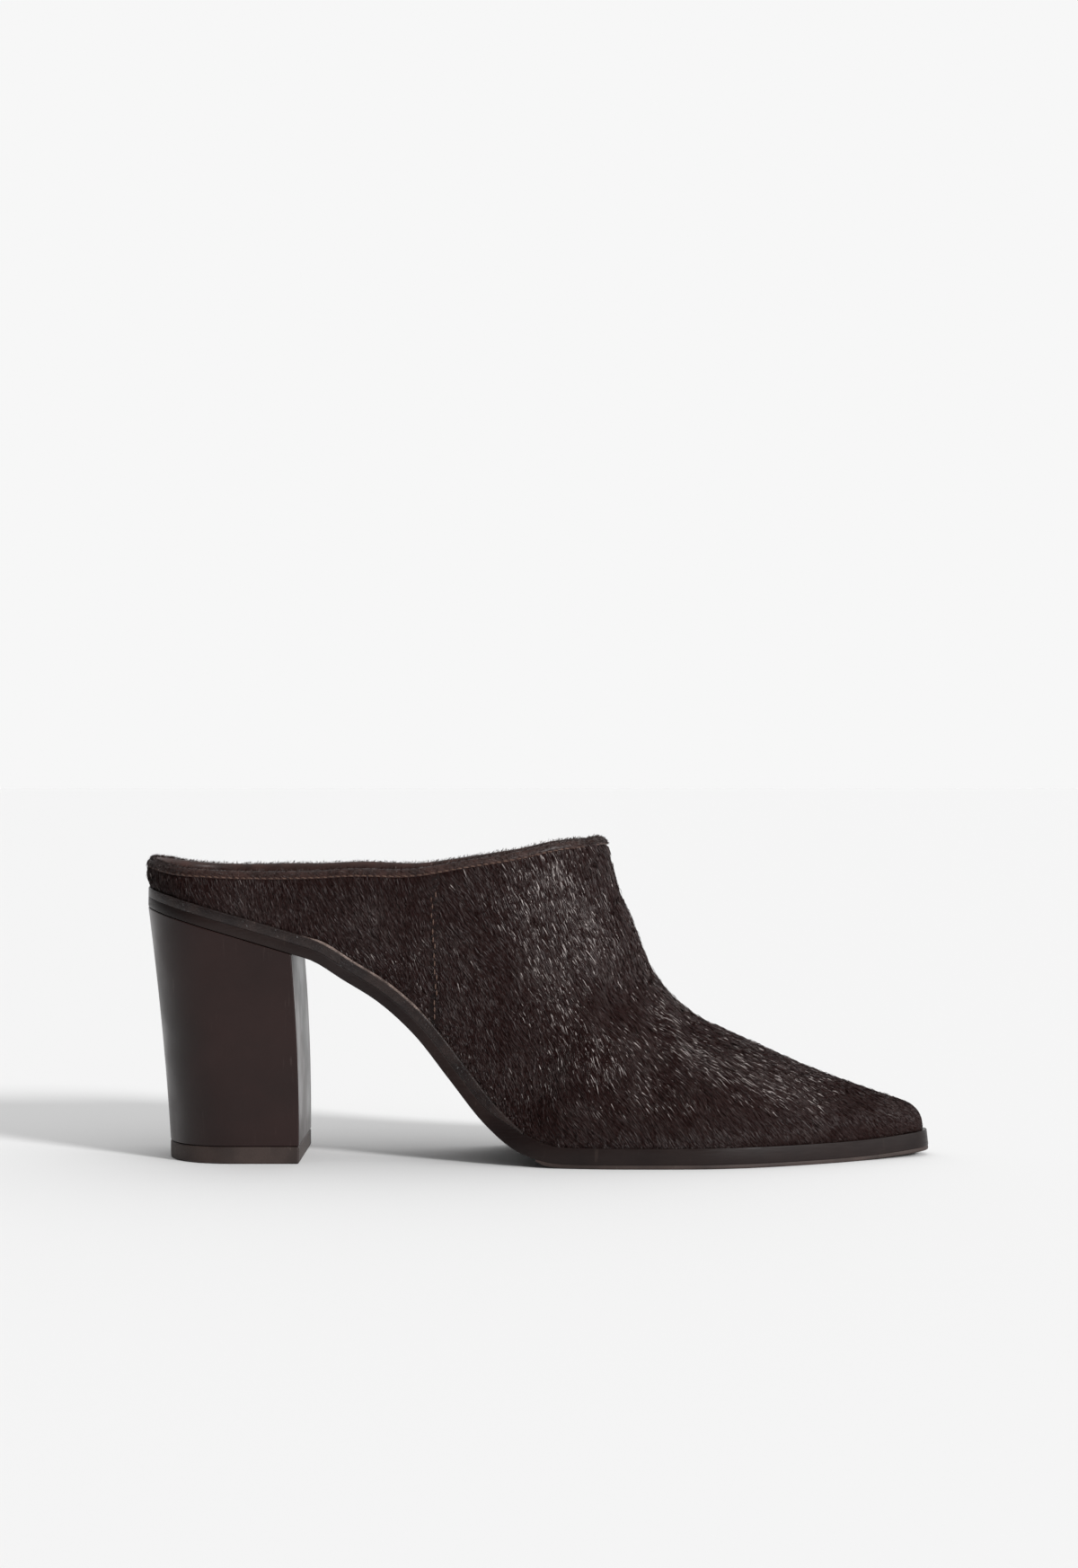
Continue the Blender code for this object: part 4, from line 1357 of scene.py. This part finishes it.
def make_shoe():
    edge = painted_edge()
    sole_rubber = rubber()
    dress(make_hide(), hide_skin(), "hair_on_calf", "upper")
    dress(make_lining(), lining_leather(), "sock_leather")
    dress(make_binding(), binding_leather(), "binding_leather", "topline_binding")
    yarn = thread()
    dress(make_collar_stitches(), yarn, "binding_leather")
    dress(make_seam_stitches(), yarn, "hair_on_calf")
    dress(make_sock(), sock_leather(), "sock_leather", "insole")
    dress(make_rand(), rand_leather(), "rand_leather", "rand")
    # The lip's light colour is partly painted highlight
    raw = raw_edge_with_painted_highlight()
    for lip in make_lip():
        dress(lip, raw, "rand_leather")
    dress(make_outsole(), edge, "painted_leather", "outsole")
    dress(make_tread(), sole_rubber, "rubber", "tread")
    dress(make_heel(), heel_paint(), "heel_paint", "heel_block")
    dress(make_lift(), sole_rubber, "rubber", "top_lift")
    make_coat(hair_strands())


def make_floor():
    """A pale floor that runs out to where the studio's white begins."""
    shape = bmesh.new()
    bmesh.ops.create_grid(shape, x_segments=1, y_segments=1, size=FLOOR_REACH)
    floor = finished("floor", shape)
    material, _, shader, _ = new_material("pale floor", Roughness=0.9, Specular_IOR_Level=0.1)
    shader.inputs["Base Color"].default_value = (FLOOR_WHITE,) * 3 + (1.0,)
    floor.data.materials.append(material)


# The studio: a white that meets the floor's, and one wide soft light from the front right
FLOOR_REACH = 80.0
FLOOR_WHITE = 0.81
KEY_POWER = 3.1
KEY_SPREAD = 10.0
KEY_FROM = (0.60, -0.62, 0.36)
WORLD_WHITE = 0.93
DIM_WHITE = 0.05
FULL_WHITE = 1.05
BRIGHT_SIDE = (0.50, 0.42, 0.62)


def make_studio():
    world = bpy.data.worlds.new("studio")
    world.use_nodes = True
    tree = world.node_tree
    way = add(tree, "ShaderNodeVectorMath", {"operation": "DOT_PRODUCT"})
    tree.links.new(tree.nodes.new("ShaderNodeTexCoord").outputs["Generated"], way.inputs[0])
    way.inputs[1].default_value = BRIGHT_SIDE
    lit = fitted(tree, way.outputs["Value"], -0.35, 0.75, DIM_WHITE, FULL_WHITE)
    seen = tree.nodes.new("ShaderNodeLightPath").outputs["Is Camera Ray"]
    strength = tree.nodes.new("ShaderNodeMix")
    strength.inputs["B"].default_value = WORLD_WHITE
    tree.links.new(seen, strength.inputs["Factor"])
    tree.links.new(lit, strength.inputs["A"])
    white = tree.nodes["Background"]
    white.inputs["Color"].default_value = (1.0, 1.0, 1.0, 1.0)
    tree.links.new(strength.outputs["Result"], white.inputs["Strength"])
    bpy.context.scene.world = world
    lamp = bpy.data.lights.new("key", "SUN")
    lamp.energy = KEY_POWER
    lamp.angle = math.radians(KEY_SPREAD)
    holder = bpy.data.objects.new("key", lamp)
    holder.rotation_euler = (-Vector(KEY_FROM)).to_track_quat("-Z", "Y").to_euler()
    bpy.context.scene.collection.objects.link(holder)


# The photo's camera: its distance, its height and the width of 1 m at 1 m in pixels
CAMERA_DISTANCE = 1.000
CAMERA_HEIGHT = 0.1187
PIXELS_PER_SLOPE = 3472.0
IMAGE_HEIGHT = 1745.0
SENSOR = 36.0


def make_camera():
    lens = bpy.data.cameras.new("camera")
    lens.sensor_width = SENSOR
    lens.lens = SENSOR * PIXELS_PER_SLOPE / IMAGE_HEIGHT
    lens.clip_start = 0.01
    holder = bpy.data.objects.new("camera", lens)
    holder.location = (0.0, -CAMERA_DISTANCE, CAMERA_HEIGHT)
    holder.rotation_euler = (math.radians(90), 0.0, 0.0)
    bpy.context.scene.collection.objects.link(holder)
    bpy.context.scene.camera = holder


make_shoe()
make_floor()
make_studio()
make_camera()
bpy.context.scene.view_settings.view_transform = "Standard"
